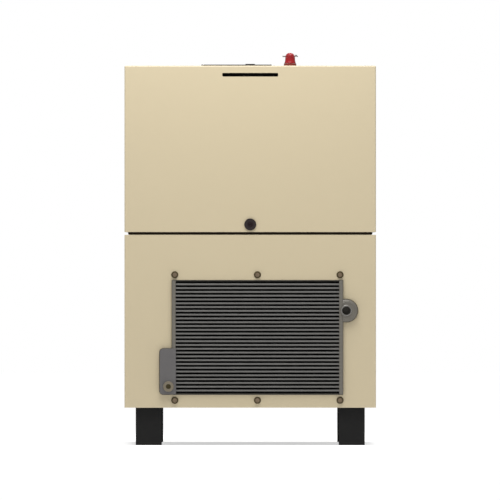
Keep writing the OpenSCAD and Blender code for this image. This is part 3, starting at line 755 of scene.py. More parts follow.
def round_edges(bm, edges, radius, segments):
    """Rounds edges of a bmesh."""
    bmesh.ops.bevel(
        bm, geom=edges, offset=radius, segments=segments, profile=0.5, affect="EDGES"
    )


def block(name, low, high, radius=0.0008, segments=2):
    """A box between two corners with every edge rounded."""
    bm = plain_box(low, high)
    if radius:
        round_edges(bm, list(bm.edges), radius, segments)
    return from_bmesh(bm, name)


def bridge(bm, first, second):
    """Faces between two matching rings of vertices."""
    for step in range(len(first)):
        after = (step + 1) % len(first)
        bm.faces.new((first[step], first[after], second[after], second[step]))


def prism(name, outlines):
    """A solid between two matching outlines."""
    bm = bmesh.new()
    first, second = ([bm.verts.new(point) for point in outline] for outline in outlines)
    bridge(bm, first, second)
    bm.faces.new(first)
    bm.faces.new(list(reversed(second)))
    bmesh.ops.recalc_face_normals(bm, faces=bm.faces)
    return from_bmesh(bm, name)


def add_hexagon(bm, radius, length, centre):
    """Adds a six-sided bar along Y."""
    bmesh.ops.create_cone(
        bm, cap_ends=True, segments=6, radius1=radius, radius2=radius, depth=length
    )
    bmesh.ops.rotate(bm, verts=bm.verts, matrix=Matrix.Rotation(pi / 2, 3, "X"))
    bmesh.ops.translate(bm, verts=bm.verts, vec=centre)


def lathe(name, profile, centre, axis="y", steps=48, closed=False):
    """Spins a profile of (radius, distance along) pairs about an axis."""
    bm = bmesh.new()
    across, up, along = AXES[axis]
    rings = []
    for radius, distance in profile:
        ring = []
        for step in range(steps):
            turn = 2 * pi * step / steps
            point = Vector(centre)
            point[across] += radius * cos(turn)
            point[up] += radius * sin(turn)
            point[along] += distance
            ring.append(bm.verts.new(point))
        rings.append(ring)
    pairs = list(zip(rings, rings[1:]))
    if closed:
        pairs.append((rings[-1], rings[0]))
    for first, second in pairs:
        bridge(bm, first, second)
    bmesh.ops.remove_doubles(bm, verts=bm.verts, dist=1e-7)
    bmesh.ops.recalc_face_normals(bm, faces=bm.faces)
    return from_bmesh(bm, name)


def join(name, pieces):
    """Joins pieces' meshes into one new piece."""
    bm = bmesh.new()
    for piece in pieces:
        bm.from_mesh(piece.data)
        mesh = piece.data
        bpy.data.objects.remove(piece)
        bpy.data.meshes.remove(mesh)
    return from_bmesh(bm, name)


def folded_sheet(name, low, high, open_ways, radius, thickness):
    """A box of folded sheet with the sides in open_ways left out."""
    bm = plain_box(low, high)
    bm.normal_update()
    gone = [f for f in bm.faces if any(f.normal.dot(Vector(way)) > 0.9 for way in open_ways)]
    bmesh.ops.delete(bm, geom=gone, context="FACES")
    folds = [edge for edge in bm.edges if len(edge.link_faces) == 2]
    round_edges(bm, folds, radius, 6)
    piece = from_bmesh(bm, name)
    solid = piece.modifiers.new("Sheet", "SOLIDIFY")
    solid.thickness = thickness
    solid.offset = -1.0
    solid.use_even_offset = True
    return apply_modifiers(piece)


def slot_cutter(name, centre, length, height, depth, along="x", through="y", radius=None):
    """A cutter with rounded corners: length along one axis, cutting along another."""
    radius = radius or height / 2
    outline = []
    for corner, (side, level) in enumerate(((1, 1), (-1, 1), (-1, -1), (1, -1))):
        for step in range(7):
            turn = pi / 2 * (corner + step / 6)
            outline.append((side * (length / 2 - radius) + radius * cos(turn),
                            level * (height / 2 - radius) + radius * sin(turn)))
    first, cut = "xyz".index(along), "xyz".index(through)
    other = 3 - first - cut
    outlines = []
    for end in (-depth / 2, depth / 2):
        points = []
        for across, up in outline:
            point = Vector(centre)
            point[first] += across
            point[other] += up
            point[cut] += end
            points.append(point)
        outlines.append(points)
    return prism(name, outlines)


def cut(piece, cutters):
    """Cuts the joined cutters out of a piece."""
    tool = join("cutter", cutters)
    boolean = piece.modifiers.new("Cut", "BOOLEAN")
    boolean.operation = "DIFFERENCE"
    boolean.solver = "EXACT"
    boolean.object = tool
    apply_modifiers(piece)
    bpy.data.objects.remove(tool)
    return piece


# ---- Geometry Nodes trees for what repeats ----


def repeat_tree():
    """Copies of a part, in a row or a ring, as realised geometry."""
    name = "Repeat Part"
    if name in bpy.data.node_groups:
        return bpy.data.node_groups[name]
    tree = bpy.data.node_groups.new(name, "GeometryNodeTree")
    tree.interface.new_socket("Geometry", in_out="OUTPUT", socket_type="NodeSocketGeometry")
    for label, kind in (
        ("Geometry", "NodeSocketGeometry"),
        ("Part", "NodeSocketObject"),
        ("Material", "NodeSocketMaterial"),
        ("Turn", "NodeSocketVector"),
    ):
        tree.interface.new_socket(label, in_out="INPUT", socket_type=kind)
    start = tree.nodes.new("NodeGroupInput")
    end = tree.nodes.new("NodeGroupOutput")
    points = tree.nodes.new("GeometryNodeMeshToPoints")
    part = tree.nodes.new("GeometryNodeObjectInfo")
    index = tree.nodes.new("GeometryNodeInputIndex")
    turn = tree.nodes.new("ShaderNodeVectorMath")
    turn.operation = "SCALE"
    spread = tree.nodes.new("GeometryNodeInstanceOnPoints")
    real = tree.nodes.new("GeometryNodeRealizeInstances")
    paint = tree.nodes.new("GeometryNodeSetMaterial")
    for output, given in (
        (start.outputs["Geometry"], points.inputs["Mesh"]),
        (start.outputs["Part"], part.inputs["Object"]),
        (start.outputs["Turn"], turn.inputs[0]),
        (index.outputs[0], turn.inputs["Scale"]),
        (points.outputs["Points"], spread.inputs["Points"]),
        (part.outputs["Geometry"], spread.inputs["Instance"]),
        (turn.outputs[0], spread.inputs["Rotation"]),
        (spread.outputs["Instances"], real.inputs["Geometry"]),
        (real.outputs["Geometry"], paint.inputs["Geometry"]),
        (start.outputs["Material"], paint.inputs["Material"]),
        (paint.outputs["Geometry"], end.inputs["Geometry"]),
    ):
        tree.links.new(output, given)
    return tree


def repeat(name, part, places, material, turn=(0.0, 0.0, 0.0)):
    """A plain mesh of a part repeated at places, each turned on by one step."""
    mesh = bpy.data.meshes.new(name)
    mesh.from_pydata([tuple(place) for place in places], [], [])
    piece = keep(mesh, name)
    tree = repeat_tree()
    modifier = piece.modifiers.new("Repeat", "NODES")
    modifier.node_group = tree
    values = {"Part": part, "Material": material, "Turn": turn}
    for item in tree.interface.items_tree:
        if item.item_type == "SOCKET" and item.in_out == "INPUT" and item.name in values:
            modifier[item.identifier] = values[item.name]
    apply_modifiers(piece)
    old = part.data
    bpy.data.objects.remove(part)
    bpy.data.meshes.remove(old)
    return piece


def row(start, step, count):
    """Places in a straight row."""
    return [Vector(start) + Vector(step) * index for index in range(count)]


def hex_screw(name, axis_sign, flange_r, across, height, flange_h=0.002):
    """A flanged hexagon head lying along Y, its seat at the origin."""
    washer = lathe("flange", [
        (0, 0), (flange_r, 0), (flange_r, -0.35 * flange_h), (flange_r - 0.0006, -0.8 * flange_h),
        (across * 0.62, -flange_h), (0, -flange_h)], (0, 0, 0), "y", 32)
    bm = bmesh.new()
    add_hexagon(bm, across / 1.732, height, (0, -flange_h - height / 2 + 0.0003, 0))
    round_edges(bm, list(bm.edges), 0.0006, 2)
    head = from_bmesh(bm, "head")
    screw = join(name, [washer, head])
    if axis_sign != "y":
        turns = {"z": Matrix.Rotation(-pi / 2, 4, "X"), "x": Matrix.Rotation(pi / 2, 4, "Z"),
                 "+y": Matrix.Rotation(pi, 4, "Z")}
        screw.data.transform(turns[axis_sign])
    return settle(screw)


def ring(centre, radius, count, axis="y", first=0.0):
    """Places evenly round a circle, with the turn from one to the next."""
    across, up, along = AXES[axis]
    places = []
    for index in range(count):
        angle = first + 2 * pi * index / count
        point = Vector(centre)
        point[across] += radius * cos(angle)
        point[up] += radius * sin(angle)
        places.append(point)
    turn = [0.0, 0.0, 0.0]
    turn[along] = 2 * pi / count
    return places, tuple(turn)


def detail(piece, material, node, name=None):
    """Gives an added piece a material and the body of the node it sits on."""
    if name:
        piece.name = name
    return finish_piece(piece, material, BODY_OF[node], SLOT_OF[node])


def bolts(name, places, axis, material, node, size=0.006, height=0.005):
    """Flanged hexagon bolts at places, their heads along an axis."""
    part = hex_screw(name + ".part", axis, size * 1.25, size * 1.75, height)
    return detail(repeat(name, part, places, material), material, node)


def clamp(name, at, radius, axis, node, side=1, width=0.009):
    """A hose clamp: a raised band with a screw housing on it."""
    low = -width / 2
    band = lathe("band", [
        (radius + 0.0002, low), (radius + 0.0014, low + 0.0006), (radius + 0.0014, -low - 0.0006),
        (radius + 0.0002, -low), (radius - 0.0006, -low), (radius - 0.0006, low)],
        at, axis, 40, True)
    house_at = Vector(at)
    across, up, along = AXES[axis]
    half = Vector((0, 0, 0))
    half[across], half[up], half[along] = 0.006, 0.0035, width / 2 + 0.001
    house_at[up] += side * (radius + 0.004)
    house = block("house", house_at - half, house_at + half, 0.001)
    return detail(settle(join(name, [band, house])), zinc_steel(), node)


def louvre(name, length):
    """A pressed louvre blade that leans in and down behind its slot."""
    outline = []
    for step in range(7):
        angle = pi / 2 * step / 6
        outline.append((0.011 * sin(angle), 0.006 - 0.014 * (1 - cos(angle))))
    inner = [(depth - 0.0012, height - 0.001) for depth, height in reversed(outline)]
    inner[-1] = (0.0, 0.0048)
    outlines = [
        [(-depth, end, height) for depth, height in outline + inner]
        for end in (-length / 2, length / 2)
    ]
    return settle(prism(name, outlines))


def slot_heights(first, count):
    """Heights of a column of slots, in millimetres."""
    return [first + SLOT_PITCH * index for index in range(count)]


# ---- Operators ----


class GENERATOR_OT_base(bpy.types.Operator):
    """Welded base and four legs, with their bolts"""

    bl_idname = "generator.base"
    bl_label = "Base and legs"

    def execute(self, context):
        rounded_copy("base_frame", black_coat(), 0.0012)
        rounded_copy("legs", black_coat(), 0.0022, 3)
        low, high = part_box("legs")
        places = []
        for x in (low[0] + 0.016, low[0] + 0.049, high[0] - 0.016, high[0] - 0.049):
            for y in (low[1] + 0.05, high[1] - 0.05):
                places.append((x, y, high[2] + 0.0041))
        part = hex_screw("leg_bolts.part", "z", 0.009, 0.013, 0.006)
        detail(repeat("leg_bolts", part, places, zinc_steel()), zinc_steel(), "legs")
        return {"FINISHED"}


class GENERATOR_OT_cabinet(bpy.types.Operator):
    """Front, rear and side panels, the corner posts, the rim and its seal"""

    bl_idname = "generator.cabinet"
    bl_label = "Cabinet"

    def execute(self, context):
        rounded_copy("upper_frame", tan_paint(), 0.0005)
        # The rim seal is a real seal whose brown-black also stands in for the shade in the seam
        # under the hood.
        rounded_copy("rim_seal", seal_rubber(), 0.0008)
        self.front()
        self.rear()
        self.sides()
        return {"FINISHED"}

    def front(self):
        low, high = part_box("front_panel")
        piece = folded_sheet("front_panel.folded", low, high, ((0, 1, 0), (0, 0, 1), (0, 0, -1)),
                             looks().fold, SHEET)
        boss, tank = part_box("inlet_boss"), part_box("drain_tank")
        core_low, core_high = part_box("radiator_core")
        face = low[1]
        side, edge, reach = 9 * MM, 3 * MM, 5 * MM
        left, right = core_low[0] - side - PANEL_GAP, core_high[0] + side + PANEL_GAP
        openings = [
            ((left, core_low[2] - edge), (right, core_high[2] + edge)),
            ((core_high[0], boss[0][2] - PANEL_GAP), (BOSS_X, boss[1][2] + PANEL_GAP)),
        ]
        cutters = [
            block("opening", (a[0], face - reach, a[1]), (b[0], face + reach, b[1]), 0.0018, 3)
            for a, b in openings
        ]
        left, right = tank[0][0] - PANEL_GAP, core_low[0] + side
        tall = tank[1][2] - tank[0][2] + 2 * PANEL_GAP
        middle = ((left + right) / 2, face, tank[0][2] - PANEL_GAP + tall / 2)
        cutters.append(slot_cutter("corner", middle, right - left, tall, 2 * reach, radius=10 * MM))
        radius = (boss[1][2] - boss[0][2]) / 2 + PANEL_GAP
        centre = (BOSS_X, face, (boss[1][2] + boss[0][2]) / 2)
        cutters.append(lathe("round", [(0, -reach), (radius, -reach), (radius, reach), (0, reach)],
                             centre, "y", 64))
        for cutter in cutters:
            cut(piece, [cutter])
        finish_piece(settle(piece), tan_paint(), "cabinet", "tan_paint", "front_panel")

    def rear(self):
        low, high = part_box("rear_panel")
        face = REAR_Y
        piece = folded_sheet("rear_panel.folded", low, (high[0], face, high[2]),
                             ((0, -1, 0), (0, 0, 1), (0, 0, -1)), looks().fold, SHEET)
        rows = [
            (x * MM, z * MM) for x, first in ((-75, 254), (75, 274)) for z in slot_heights(first, 9)
        ]
        cutters = [
            slot_cutter("slot", (x, face, z), 110 * MM, SLOT_HEIGHT, CUT_DEPTH) for x, z in rows
        ]
        for x, z, radius in ((200, 220, 25), (60, 220, 24), (-180, 440, 27)):
            profile = [(0, -0.01), (radius * MM, -0.01), (radius * MM, 0.01), (0, 0.01)]
            cutters.append(lathe("round", profile, (x * MM, face, z * MM), "y", 48))
        cut(piece, cutters)
        hub = lathe("hub", mm([
            (25, -1.8), (31, -1.8), (31, 12.5), (29.5, 14), (26, 14), (25, 13)]),
                    (200 * MM, face, 220 * MM), "y", 48, True)
        piece = join("rear_panel.folded", [piece, hub])
        finish_piece(settle(piece), tan_paint(), "cabinet", "tan_paint", "rear_panel")
        part = louvre("rear_louvres.part", 112 * MM)
        part.data.transform(Matrix.Rotation(pi / 2, 4, "Z"))
        places = [(x, face - LOUVRE_INSET, z) for x, z in rows]
        detail(repeat("rear_louvres", part, places, tan_paint()), tan_paint(), "rear_panel")

    def sides(self):
        rows = [(y * MM, z * MM) for y in (109, 269) for z in slot_heights(214, 12)]
        for node, side in (("left_side_panel", -1), ("right_side_panel", 1)):
            low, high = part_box(node)
            piece = block(node + ".sheet", low, high, 0.0006)
            face = high[0] if side > 0 else low[0]
            cut(piece, [
                slot_cutter("slot", (face, y, z), 98 * MM, SLOT_HEIGHT, CUT_DEPTH, "y", "x")
                for y, z in rows
            ])
            finish_piece(settle(piece), tan_paint(), "cabinet", "tan_paint", node)
            part = louvre(node + ".part", 100 * MM)
            if side < 0:
                part.data.transform(Matrix.Rotation(pi, 4, "Z"))
            places = [(face - side * LOUVRE_INSET, y, z) for y, z in rows]
            detail(repeat(node + ".louvres", part, places, tan_paint()), tan_paint(), node)


class GENERATOR_OT_hood(bpy.types.Operator):
    """Rear-hinged hood with its air slot, hinges and turning lock"""

    bl_idname = "generator.hood"
    bl_label = "Hood"

    def execute(self, context):
        low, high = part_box("hood")
        piece = folded_sheet("hood.folded", low, high, ((0, 0, -1),), looks().fold, SHEET)
        hole = [(0, -0.01), (11.2 * MM, -0.01), (11.2 * MM, 0.01), (0, 0.01)]
        hatch_low = (-104 * MM, -310 * MM, high[2] - 0.01)
        hatch_high = (34 * MM, -110 * MM, high[2] + 0.01)
        cut(piece, [
            slot_cutter("slot", (0, low[1], AIR_SLOT_Z), 140 * MM, 9 * MM, CUT_DEPTH,
                        radius=2.6 * MM),
            lathe("lock", hole, (0, low[1], LOCK_Z), "y", 48),
            block("hatch", hatch_low, hatch_high, 0.003, 3),
            lathe("stop", hole, (*STOP_AT, high[2]), "z", 48),
        ])
        lip = 5 * MM
        edges = [
            ((low[0] + MM, low[1] + MM), (high[0] - MM, low[1] + lip)),
            ((low[0] + MM, high[1] - lip), (high[0] - MM, high[1] - MM)),
            ((low[0] + MM, low[1] + lip), (low[0] + lip, high[1] - lip)),
            ((high[0] - lip, low[1] + lip), (high[0] - MM, high[1] - lip)),
        ]
        rim = [block("lip", (*a, low[2]), (*b, low[2] + SHEET), 0.0004) for a, b in edges]
        piece = join("hood.folded", [piece] + rim)
        finish_piece(settle(piece), tan_paint(), "hood", "tan_paint", "hood")
        rounded_copy("vent_baffle", black_coat(), 0.0005)
        for node in ("hinge_lower_leaves", "hinge_upper_leaves"):
            rounded_copy(node, zinc_steel(), 0.0005)
            leaf_low, leaf_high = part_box(node)
            height = (leaf_low[2] + leaf_high[2]) / 2
            height += -0.006 if node == "hinge_lower_leaves" else 0.006
            screw_y = REAR_Y + 0.0025
            places = [
                (x + side, screw_y, height) for x in (-0.2, 0.2) for side in (-0.024, 0, 0.024)
            ]
            part = hex_screw(node + ".part", "+y", 0.0045, 0.007, 0.003, 0.001)
            detail(repeat(node + ".screws", part, places, screw_shaded_steel()), screw_shaded_steel(), node)
        rounded_copy("hinge_pins", machined_steel(), 0.0005)
        rounded_copy("hood_lock_body", lock_plastic(), 0.0009, 3)
        rounded_copy("hood_lock_cam", lock_core(), 0.0003)
        return {"FINISHED"}


class GENERATOR_OT_hatch(bpy.types.Operator):
    """Roof hatch with its gasket, hinge and quarter-turn latch"""

    bl_idname = "generator.hatch"
    bl_label = "Roof hatch"

    def execute(self, context):
        rounded_copy("hatch_lid", hatch_black(), 0.0004)
        rounded_copy("hatch_gasket", seal_rubber(), 0.0003)
        rounded_copy("hatch_hinge_leaf", hatch_black(), 0.0003)
        rounded_copy("hatch_pin", machined_steel(), 0.0002)
        rounded_copy("hatch_latch", lock_plastic(), 0.0004)
        return {"FINISHED"}


class GENERATOR_OT_stop(bpy.types.Operator):
    """Red stop button with its collar and turning ears"""

    bl_idname = "generator.stop"
    bl_label = "Stop button"

    def execute(self, context):
        # The collar takes the painted-shade brown-red of the button's foot.
        rounded_copy("stop_base", stop_shaded_brown(), 0.0006)
        rounded_copy("stop_head", stop_red(), 0.0005, 3)
        plate = rounded_copy("stop_ear_plate", ear_steel(), 0.0004)
        plate.data.materials.append(stop_red())
        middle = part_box("stop_base")
        middle = (middle[0] + middle[1]) / 2
        for polygon in plate.data.polygons:
            polygon.material_index = int((polygon.center - middle).xy.length < 12.7 * MM)
        return {"FINISHED"}


class GENERATOR_OT_radiator(bpy.types.Operator):
    """Radiator core of bars and fins, with its frame, screws, boss and drain"""

    bl_idname = "generator.radiator"
    bl_label = "Radiator"

    bar_count: bpy.props.IntProperty(
        name="Bars", description="How many bars the radiator's face has", default=29, min=5, max=60
    )
    fin_pitch: bpy.props.FloatProperty(
        name="Fin pitch", description="Distance between the upright fins", default=0.0025,
        min=0.001, max=0.01, subtype="DISTANCE", unit="LENGTH",
    )

    def execute(self, context):
        low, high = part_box("radiator_core")
        front, back = low[1], high[1]
        pitch, height = 9.5 * MM, 4.5 * MM
        middle = (low[2] + high[2]) / 2
        first = middle - pitch * (self.bar_count - 1) / 2
        bar_low = (low[0], 0, -height / 2)
        bar_high = (high[0], back - front - 2 * MM, height / 2)
        bar = block("bars.part", bar_low, bar_high, 0.0012, 2)
        settle(bar)
        places = row((0, front, first), (0, 0, pitch), self.bar_count)
        bars = repeat("radiator_core.bars", bar, places, bar_metal())
        finish_piece(bars, bar_metal(), "cabinet", "radiator_grey", "radiator_core")
        count = int((high[0] - low[0]) / self.fin_pitch)
        fin = block("fins.part", (0, front + 5 * MM, low[2]), (0.0003, back - 3 * MM, high[2]), 0)
        places = row((low[0] + self.fin_pitch / 2, 0, 0), (self.fin_pitch, 0, 0), count)
        detail(repeat("radiator_core.fins", fin, places, fin_metal()), fin_metal(), "radiator_core")
        # Painted shade: a solid black slab deep in the core, standing in for the shade seen between
        # the fins.
        near, far = (back - inset for inset in CORE_SHADE_INSETS)
        near, far = (low[0], near, low[2]), (high[0], far, high[2])
        core_shade = block("radiator_core.tubes", near, far, 0.001)
        detail(settle(core_shade), fin_metal(), "radiator_core")
        rounded_copy("radiator_frame", tank_paint(), 0.0012, 3)
        rounded_copy("inlet_boss", tank_paint(), 0.0008)
        boss_low, boss_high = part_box("inlet_boss")
        centre = (BOSS_X, boss_low[1], (boss_low[2] + boss_high[2]) / 2)
        collar = lathe("collar", mm([
            (10.6, 2), (10.6, -1.2), (11.4, -2.2), (12.8, -2.2), (13.9, -1.2), (14.3, 0.6),
            (14.3, 2)]), centre, "y", 64, True)
        # The port's collar takes the painted-highlight colour.
        detail(settle(collar), port_rim_highlight(), "inlet_boss", "inlet_boss.collar")
        step = lathe("step", mm([
            (20.8, 1), (20.8, -0.8), (21.6, -1.1), (22.6, -0.5), (22.8, 1)]), centre, "y", 64, True)
        cut(step, [block("trim", (0.2, centre[1] - 0.01, centre[2] - 0.04),
                         (232.5 * MM, centre[1] + 0.01, centre[2] + 0.04), 0)])
        detail(settle(step), tank_paint(), "inlet_boss", "inlet_boss.step")
        rounded_copy("drain_tank", bracket_paint(), 0.0012, 3)
        self.screws()
        self.plug()
        return {"FINISHED"}

    def screws(self):
        low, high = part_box("radiator_screws")
        flange = 9 * MM
        xs = (low[0] + flange, (low[0] + high[0]) / 2, high[0] - flange)
        zs = (low[2] + flange, high[2] - flange)
        places = [(x, FRONT_Y, z) for x in xs for z in zs]
        part = hex_screw("screws.part", "y", flange, 13 * MM, 5 * MM)
        shank = lathe("shank", mm([
            (0, 0), (3.9, 0), (3.9, 18), (2.9, 20), (0, 20)]),
            (0, 0, 0), "y", 24)
        part = settle(join("screws.part", [part, shank]))
        screws = repeat("radiator_screws.hex", part, places, screw_shaded_steel())
        finish_piece(screws, screw_shaded_steel(), "cabinet", "screw_zinc", "radiator_screws")
        # Painted highlight: a thin lighter disc on each head's front face, set against the darker
        # painted-shade flange.
        face = settle(lathe("faces.part", mm([
            (0, -6.7), (1.6, -6.9), (2.6, -7), (4.6, -7.3), (5.2, -7.1), (5.2, -6.5),
            (0, -6.5)]), (0, 0, 0), "y", 24))
        faces = repeat("radiator_screws.faces", face, places, screw_lit_face())
        detail(faces, screw_lit_face(), "radiator_screws")

    def plug(self):
        low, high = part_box("drain_plug")
        centre = ((low[0] + high[0]) / 2, low[1], (low[2] + high[2]) / 2)
        washer = lathe("drain_plug.washer", mm([
            (6.1, 1.3), (6.6, 0.5), (7.6, 0.1), (12, 0), (12.9, 0.5), (13.2, 1.4),
            (13.2, 4.4), (12.6, 5), (6.1, 5)]),
            centre, "y", 64, True)
        finish_piece(settle(washer), washer_beige(), "drain", "plug_brass", "drain_plug")
        core = lathe("drain_plug.core", mm([
            (0, 1.2), (5.7, 1.2), (6, 1.5), (6, 4.9), (7.9, 5.2), (7.9, 21.5), (6.5, 22.8),
            (0, 22.8)]),
            centre, "y", 48)
        bm = bmesh.new()
        add_hexagon(bm, 5.2 * MM, 10 * MM, Vector(centre))
        cut(core, [from_bmesh(bm, "socket")])
        detail(settle(core), dull_brass(), "drain_plug")


class GENERATOR_OT_cooling(bpy.types.Operator):
    """Fan, its shroud and motor, and the radiator hoses"""

    bl_idname = "generator.cooling"
    bl_label = "Fan and hoses"

    def execute(self, context):
        rounded_copy("fan_shroud", fan_plastic(), 0.0006)
        rounded_copy("fan", fan_plastic(), 0.0004)
        rounded_copy("fan_motor", wrinkle_black(), 0.0015, 3)
        rounded_copy("radiator_hoses", hose_rubber(), 0.0005)
        low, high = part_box("fan_motor")
        centre = Vector(((low[0] + high[0]) / 2, high[1] + 0.0002, (low[2] + high[2]) / 2))
        places = ring(centre, 0.028, 4, "y", pi / 4)[0]
        for index, (at, axis, side) in enumerate((
            ((0.198, -0.436, 0.380), "y", 1), ((0.060, -0.312, 0.380), "y", 1),
            ((-0.162, -0.436, 0.252), "y", -1), ((-0.096, -0.160, 0.252), "x", 1),
        )):
            clamp(f"radiator_hoses.clamp_{index}", at, 0.017, axis, "radiator_hoses", side)
        bolts("fan_motor.screws", places, "+y", zinc_steel(), "fan_motor", 0.003, 0.002)
        return {"FINISHED"}


class GENERATOR_OT_engine(bpy.types.Operator):
    """Engine block, head, covers, pan, pulleys, belt and service parts"""

    bl_idname = "generator.engine"
    bl_label = "Engine"

    def execute(self, context):
        rounded_copy("isolators", seal_rubber(), 0.002, 3)
        rounded_copy("engine_block", cast_iron(), 0.0016)
        rounded_copy("cylinder_head", cast_aluminium(), 0.0016)
        rounded_copy("valve_cover", wrinkle_black(), 0.0012)
        rounded_copy("oil_pan", wrinkle_black(), 0.0016)
        rounded_copy("crankshaft", machined_steel(), 0.0006)
        rounded_copy("crank_pulley", machined_steel(), 0.0004)
        rounded_copy("water_pump_pulley", machined_steel(), 0.0004)
        rounded_copy("drive_belt", seal_rubber(), 0.0004)
        rounded_copy("starter_motor", wrinkle_black(), 0.0015, 3)
        rounded_copy("oil_filter", filter_paint(), 0.0025, 3)
        rounded_copy("dipstick", yellow_plastic(), 0.0006)
        rounded_copy("oil_cap", lock_plastic(), 0.0012, 3)
        self.bolts()
        return {"FINISHED"}

    def bolts(self):
        low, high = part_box("cylinder_head")
        ys = [low[1] + 0.022 + 0.054 * index for index in range(5)]
        side = [(x, y, high[2]) for x in (low[0] + 0.008, high[0] - 0.008) for y in ys]
        bolts("cylinder_head.bolts", side, "z", zinc_steel(), "cylinder_head", 0.005)
        low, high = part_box("valve_cover")
        tops = [(0, y, high[2] - 0.013) for y in (low[1] + 0.03, low[1] + 0.1)]
        bolts("valve_cover.bolts", tops, "z", zinc_steel(), "valve_cover", 0.005)
        places = [(x, -0.3, z) for x in (-0.07, 0.07) for z in (0.245, 0.43)]
        bolts("engine_block.front_bolts", places, "y", zinc_steel(), "engine_block", 0.006)
        places = ring((0, -0.04, SHAFT_Z), 0.143, 12, "y", pi / 12)[0]
        bolts("engine_block.flange_bolts", places, "y", zinc_steel(), "engine_block", 0.004, 0.004)


class GENERATOR_OT_alternator(bpy.types.Operator):
    """Alternator housing with its ribs, stator and rotor"""

    bl_idname = "generator.alternator"
    bl_label = "Alternator"

    rib_count: bpy.props.IntProperty(
        name="Ribs", description="How many cooling ribs go round the housing", default=40,
        min=8, max=72,
    )

    def execute(self, context):
        rounded_copy("alternator_housing", alternator_paint(), 0.0014)
        rounded_copy("stator", copper_windings(), 0.002)
        rounded_copy("rotor", machined_steel(), 0.0008)
        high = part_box("alternator_housing")[1]
        rib = settle(block("ribs.part", (-0.0018, 0.05, -0.002), (0.0018, 0.25, 0.007), 0.0008))
        places, turn = ring((0, 0, SHAFT_Z), 0.14, self.rib_count)
        ribs = repeat("alternator_housing.ribs", rib, places, alternator_paint(), turn)
        detail(ribs, alternator_paint(), "alternator_housing")
        ends, turn = ring((0, high[1], SHAFT_Z), 0.125, 8, "y", pi / 8)
        bolts("alternator_housing.bolts", ends, "+y", zinc_steel(), "alternator_housing",
              0.005, 0.004)
        return {"FINISHED"}


class GENERATOR_OT_breathing(bpy.types.Operator):
    """Intake, air cleaner, gas regulator, exhaust manifold and muffler"""

    bl_idname = "generator.breathing"
    bl_label = "Intake, fuel and exhaust"

    def execute(self, context):
        rounded_copy("intake_manifold", cast_aluminium(), 0.0016)
        rounded_copy("air_cleaner", fan_plastic(), 0.0015)
        rounded_copy("gas_regulator", alternator_paint(), 0.0012)
        rounded_copy("exhaust_manifold", scaled_iron(), 0.0018)
        rounded_copy("muffler", aluminised_steel(), 0.0012)
        inner, outer = MUFFLER_R - 0.001, MUFFLER_R + 0.0016
        profile = [(inner, -0.0125), (outer, -0.012), (outer, 0.012), (inner, 0.0125)]
        for index, x in enumerate((-0.14, 0.14)):
            band = lathe(f"muffler.band_{index}", profile, (x, 0.4, 0.64), "x", 64, True)
            detail(settle(band), zinc_steel(), "muffler")
        inner, outer = AIR_CLEANER_R, AIR_CLEANER_R + 1.9 * MM
        profile = [(inner, -0.006), (outer, -0.005), (outer, 0.005), (inner, 0.006)]
        for index, y in enumerate((-0.27, -0.08)):
            band = lathe("band", profile, (-0.215, y, 0.64), "y", 56, True)
            detail(settle(band), zinc_steel(), "air_cleaner", f"air_cleaner.band_{index}")
        return {"FINISHED"}


class GENERATOR_OT_controls(bpy.types.Operator):
    """Control box, breaker, mode switch, battery and the hood's prop"""

    bl_idname = "generator.controls"
    bl_label = "Controls and battery"

    def execute(self, context):
        rounded_copy("control_box", control_grey(), 0.001)
        rounded_copy("control_cover", control_grey(), 0.001)
        rounded_copy("breaker_toggle", lock_plastic(), 0.0008)
        rounded_copy("mode_switch", lock_plastic(), 0.0008)
        rounded_copy("prop_rod", zinc_steel(), 0.0003)
        rounded_copy("battery", battery_case(), 0.0025, 3)
        return {"FINISHED"}


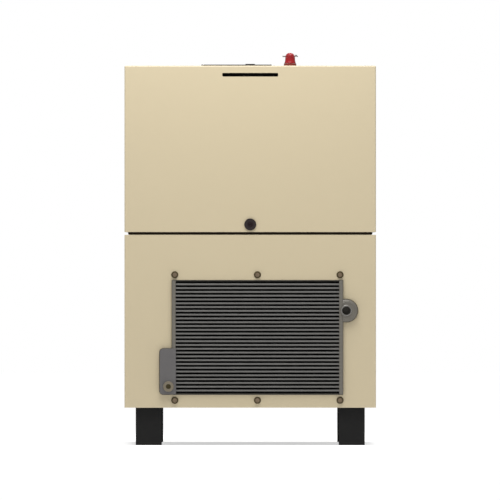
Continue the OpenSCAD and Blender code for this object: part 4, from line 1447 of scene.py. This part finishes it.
class GENERATOR_OT_stage(bpy.types.Operator):
    """Pale floor, soft light and the camera"""

    bl_idname = "generator.stage"
    bl_label = "Stage"

    def execute(self, context):
        scene = context.scene
        floor = block("floor", (-30, -40, -0.02), (30, 30, -0.0002), 0)
        material = bpy.data.materials.new("pale_floor")
        material.use_nodes = True
        tree = material.node_tree
        shader = tree.nodes["Principled BSDF"]
        mottle = use_group(
            tree, "Mottle", Color=(0.93, 0.93, 0.925, 1), Other_Color=(0.9, 0.9, 0.895, 1),
            Scale=0.8, Amount=0.3
        )
        tree.links.new(mottle.outputs["Color"], shader.inputs["Base Color"])
        shader.inputs["Roughness"].default_value = 0.85
        shader.inputs["Emission Color"].default_value = (1, 1, 1, 1)
        tree.links.new(self.strength(tree, 0.35, 0.2), shader.inputs["Emission Strength"])
        set_material(floor, material)
        world = bpy.data.worlds.new("Studio")
        world.use_nodes = True
        background = world.node_tree.nodes["Background"]
        background.inputs["Color"].default_value = (1, 1, 1, 1)
        strength = self.strength(world.node_tree, 0.5, 0.5)
        world.node_tree.links.new(strength, background.inputs["Strength"])
        scene.world = world
        scene.view_settings.view_transform = "Standard"
        for name, place, size, power in (
            ("Key", (-0.1, -1.15, 2.25), 1.4, 46.0),
            ("Rear", (0.5, 1.9, 2.6), 1.6, 24.0),
        ):
            light = bpy.data.lights.new(name, "AREA")
            light.size = size
            light.energy = power
            lamp = bpy.data.objects.new(name, light)
            lamp.location = place
            aim = Vector(AIM_AT) - Vector(place)
            lamp.rotation_euler = aim.to_track_quat("-Z", "Y").to_euler()
            scene.collection.objects.link(lamp)
        camera = bpy.data.cameras.new("Camera")
        camera.lens = looks().lens
        camera.sensor_width = SENSOR_WIDTH
        camera.clip_end = 1000
        distance = VIEW_WIDTH * camera.lens / camera.sensor_width
        viewer = bpy.data.objects.new("Camera", camera)
        viewer.location = (CAMERA_X, FRONT_Y - distance, CAMERA_Z)
        viewer.rotation_euler = (pi / 2, 0, 0)
        scene.collection.objects.link(viewer)
        scene.camera = viewer
        return {"FINISHED"}

    @staticmethod
    def strength(tree, extra, base):
        """A strength of base, with extra added for what the camera sees directly."""
        seen = tree.nodes.new("ShaderNodeLightPath").outputs["Is Camera Ray"]
        return math_node(tree, "ADD", math_node(tree, "MULTIPLY", seen, extra), base)


# ---- Panel, registration and the run ----

STEPS = (
    GENERATOR_OT_base, GENERATOR_OT_cabinet, GENERATOR_OT_hood, GENERATOR_OT_hatch,
    GENERATOR_OT_stop, GENERATOR_OT_radiator, GENERATOR_OT_cooling, GENERATOR_OT_engine,
    GENERATOR_OT_alternator, GENERATOR_OT_breathing, GENERATOR_OT_controls, GENERATOR_OT_stage,
)


class GENERATOR_PT_panel(bpy.types.Panel):
    """Lists the generator's pieces and its finishing sizes"""

    bl_idname = "GENERATOR_PT_panel"
    bl_label = "Standby Generator"
    bl_space_type = "VIEW_3D"
    bl_region_type = "UI"
    bl_category = "Generator"

    def draw(self, context):
        settings = context.scene.generator_looks
        for name in ("paint", "black", "bar", "fold", "grain", "dust", "lens"):
            self.layout.prop(settings, name)
        for step in STEPS:
            self.layout.operator(step.bl_idname)


CLASSES = (GeneratorLooks, *STEPS, GENERATOR_PT_panel)


def register():
    for item in CLASSES:
        bpy.utils.register_class(item)
    bpy.types.Scene.generator_looks = bpy.props.PointerProperty(type=GeneratorLooks)


def unregister():
    del bpy.types.Scene.generator_looks
    for item in reversed(CLASSES):
        bpy.utils.unregister_class(item)


def main():
    register()
    for step in STEPS:
        family, name = step.bl_idname.split(".")
        getattr(getattr(bpy.ops, family), name)()


if __name__ == "__main__":
    main()
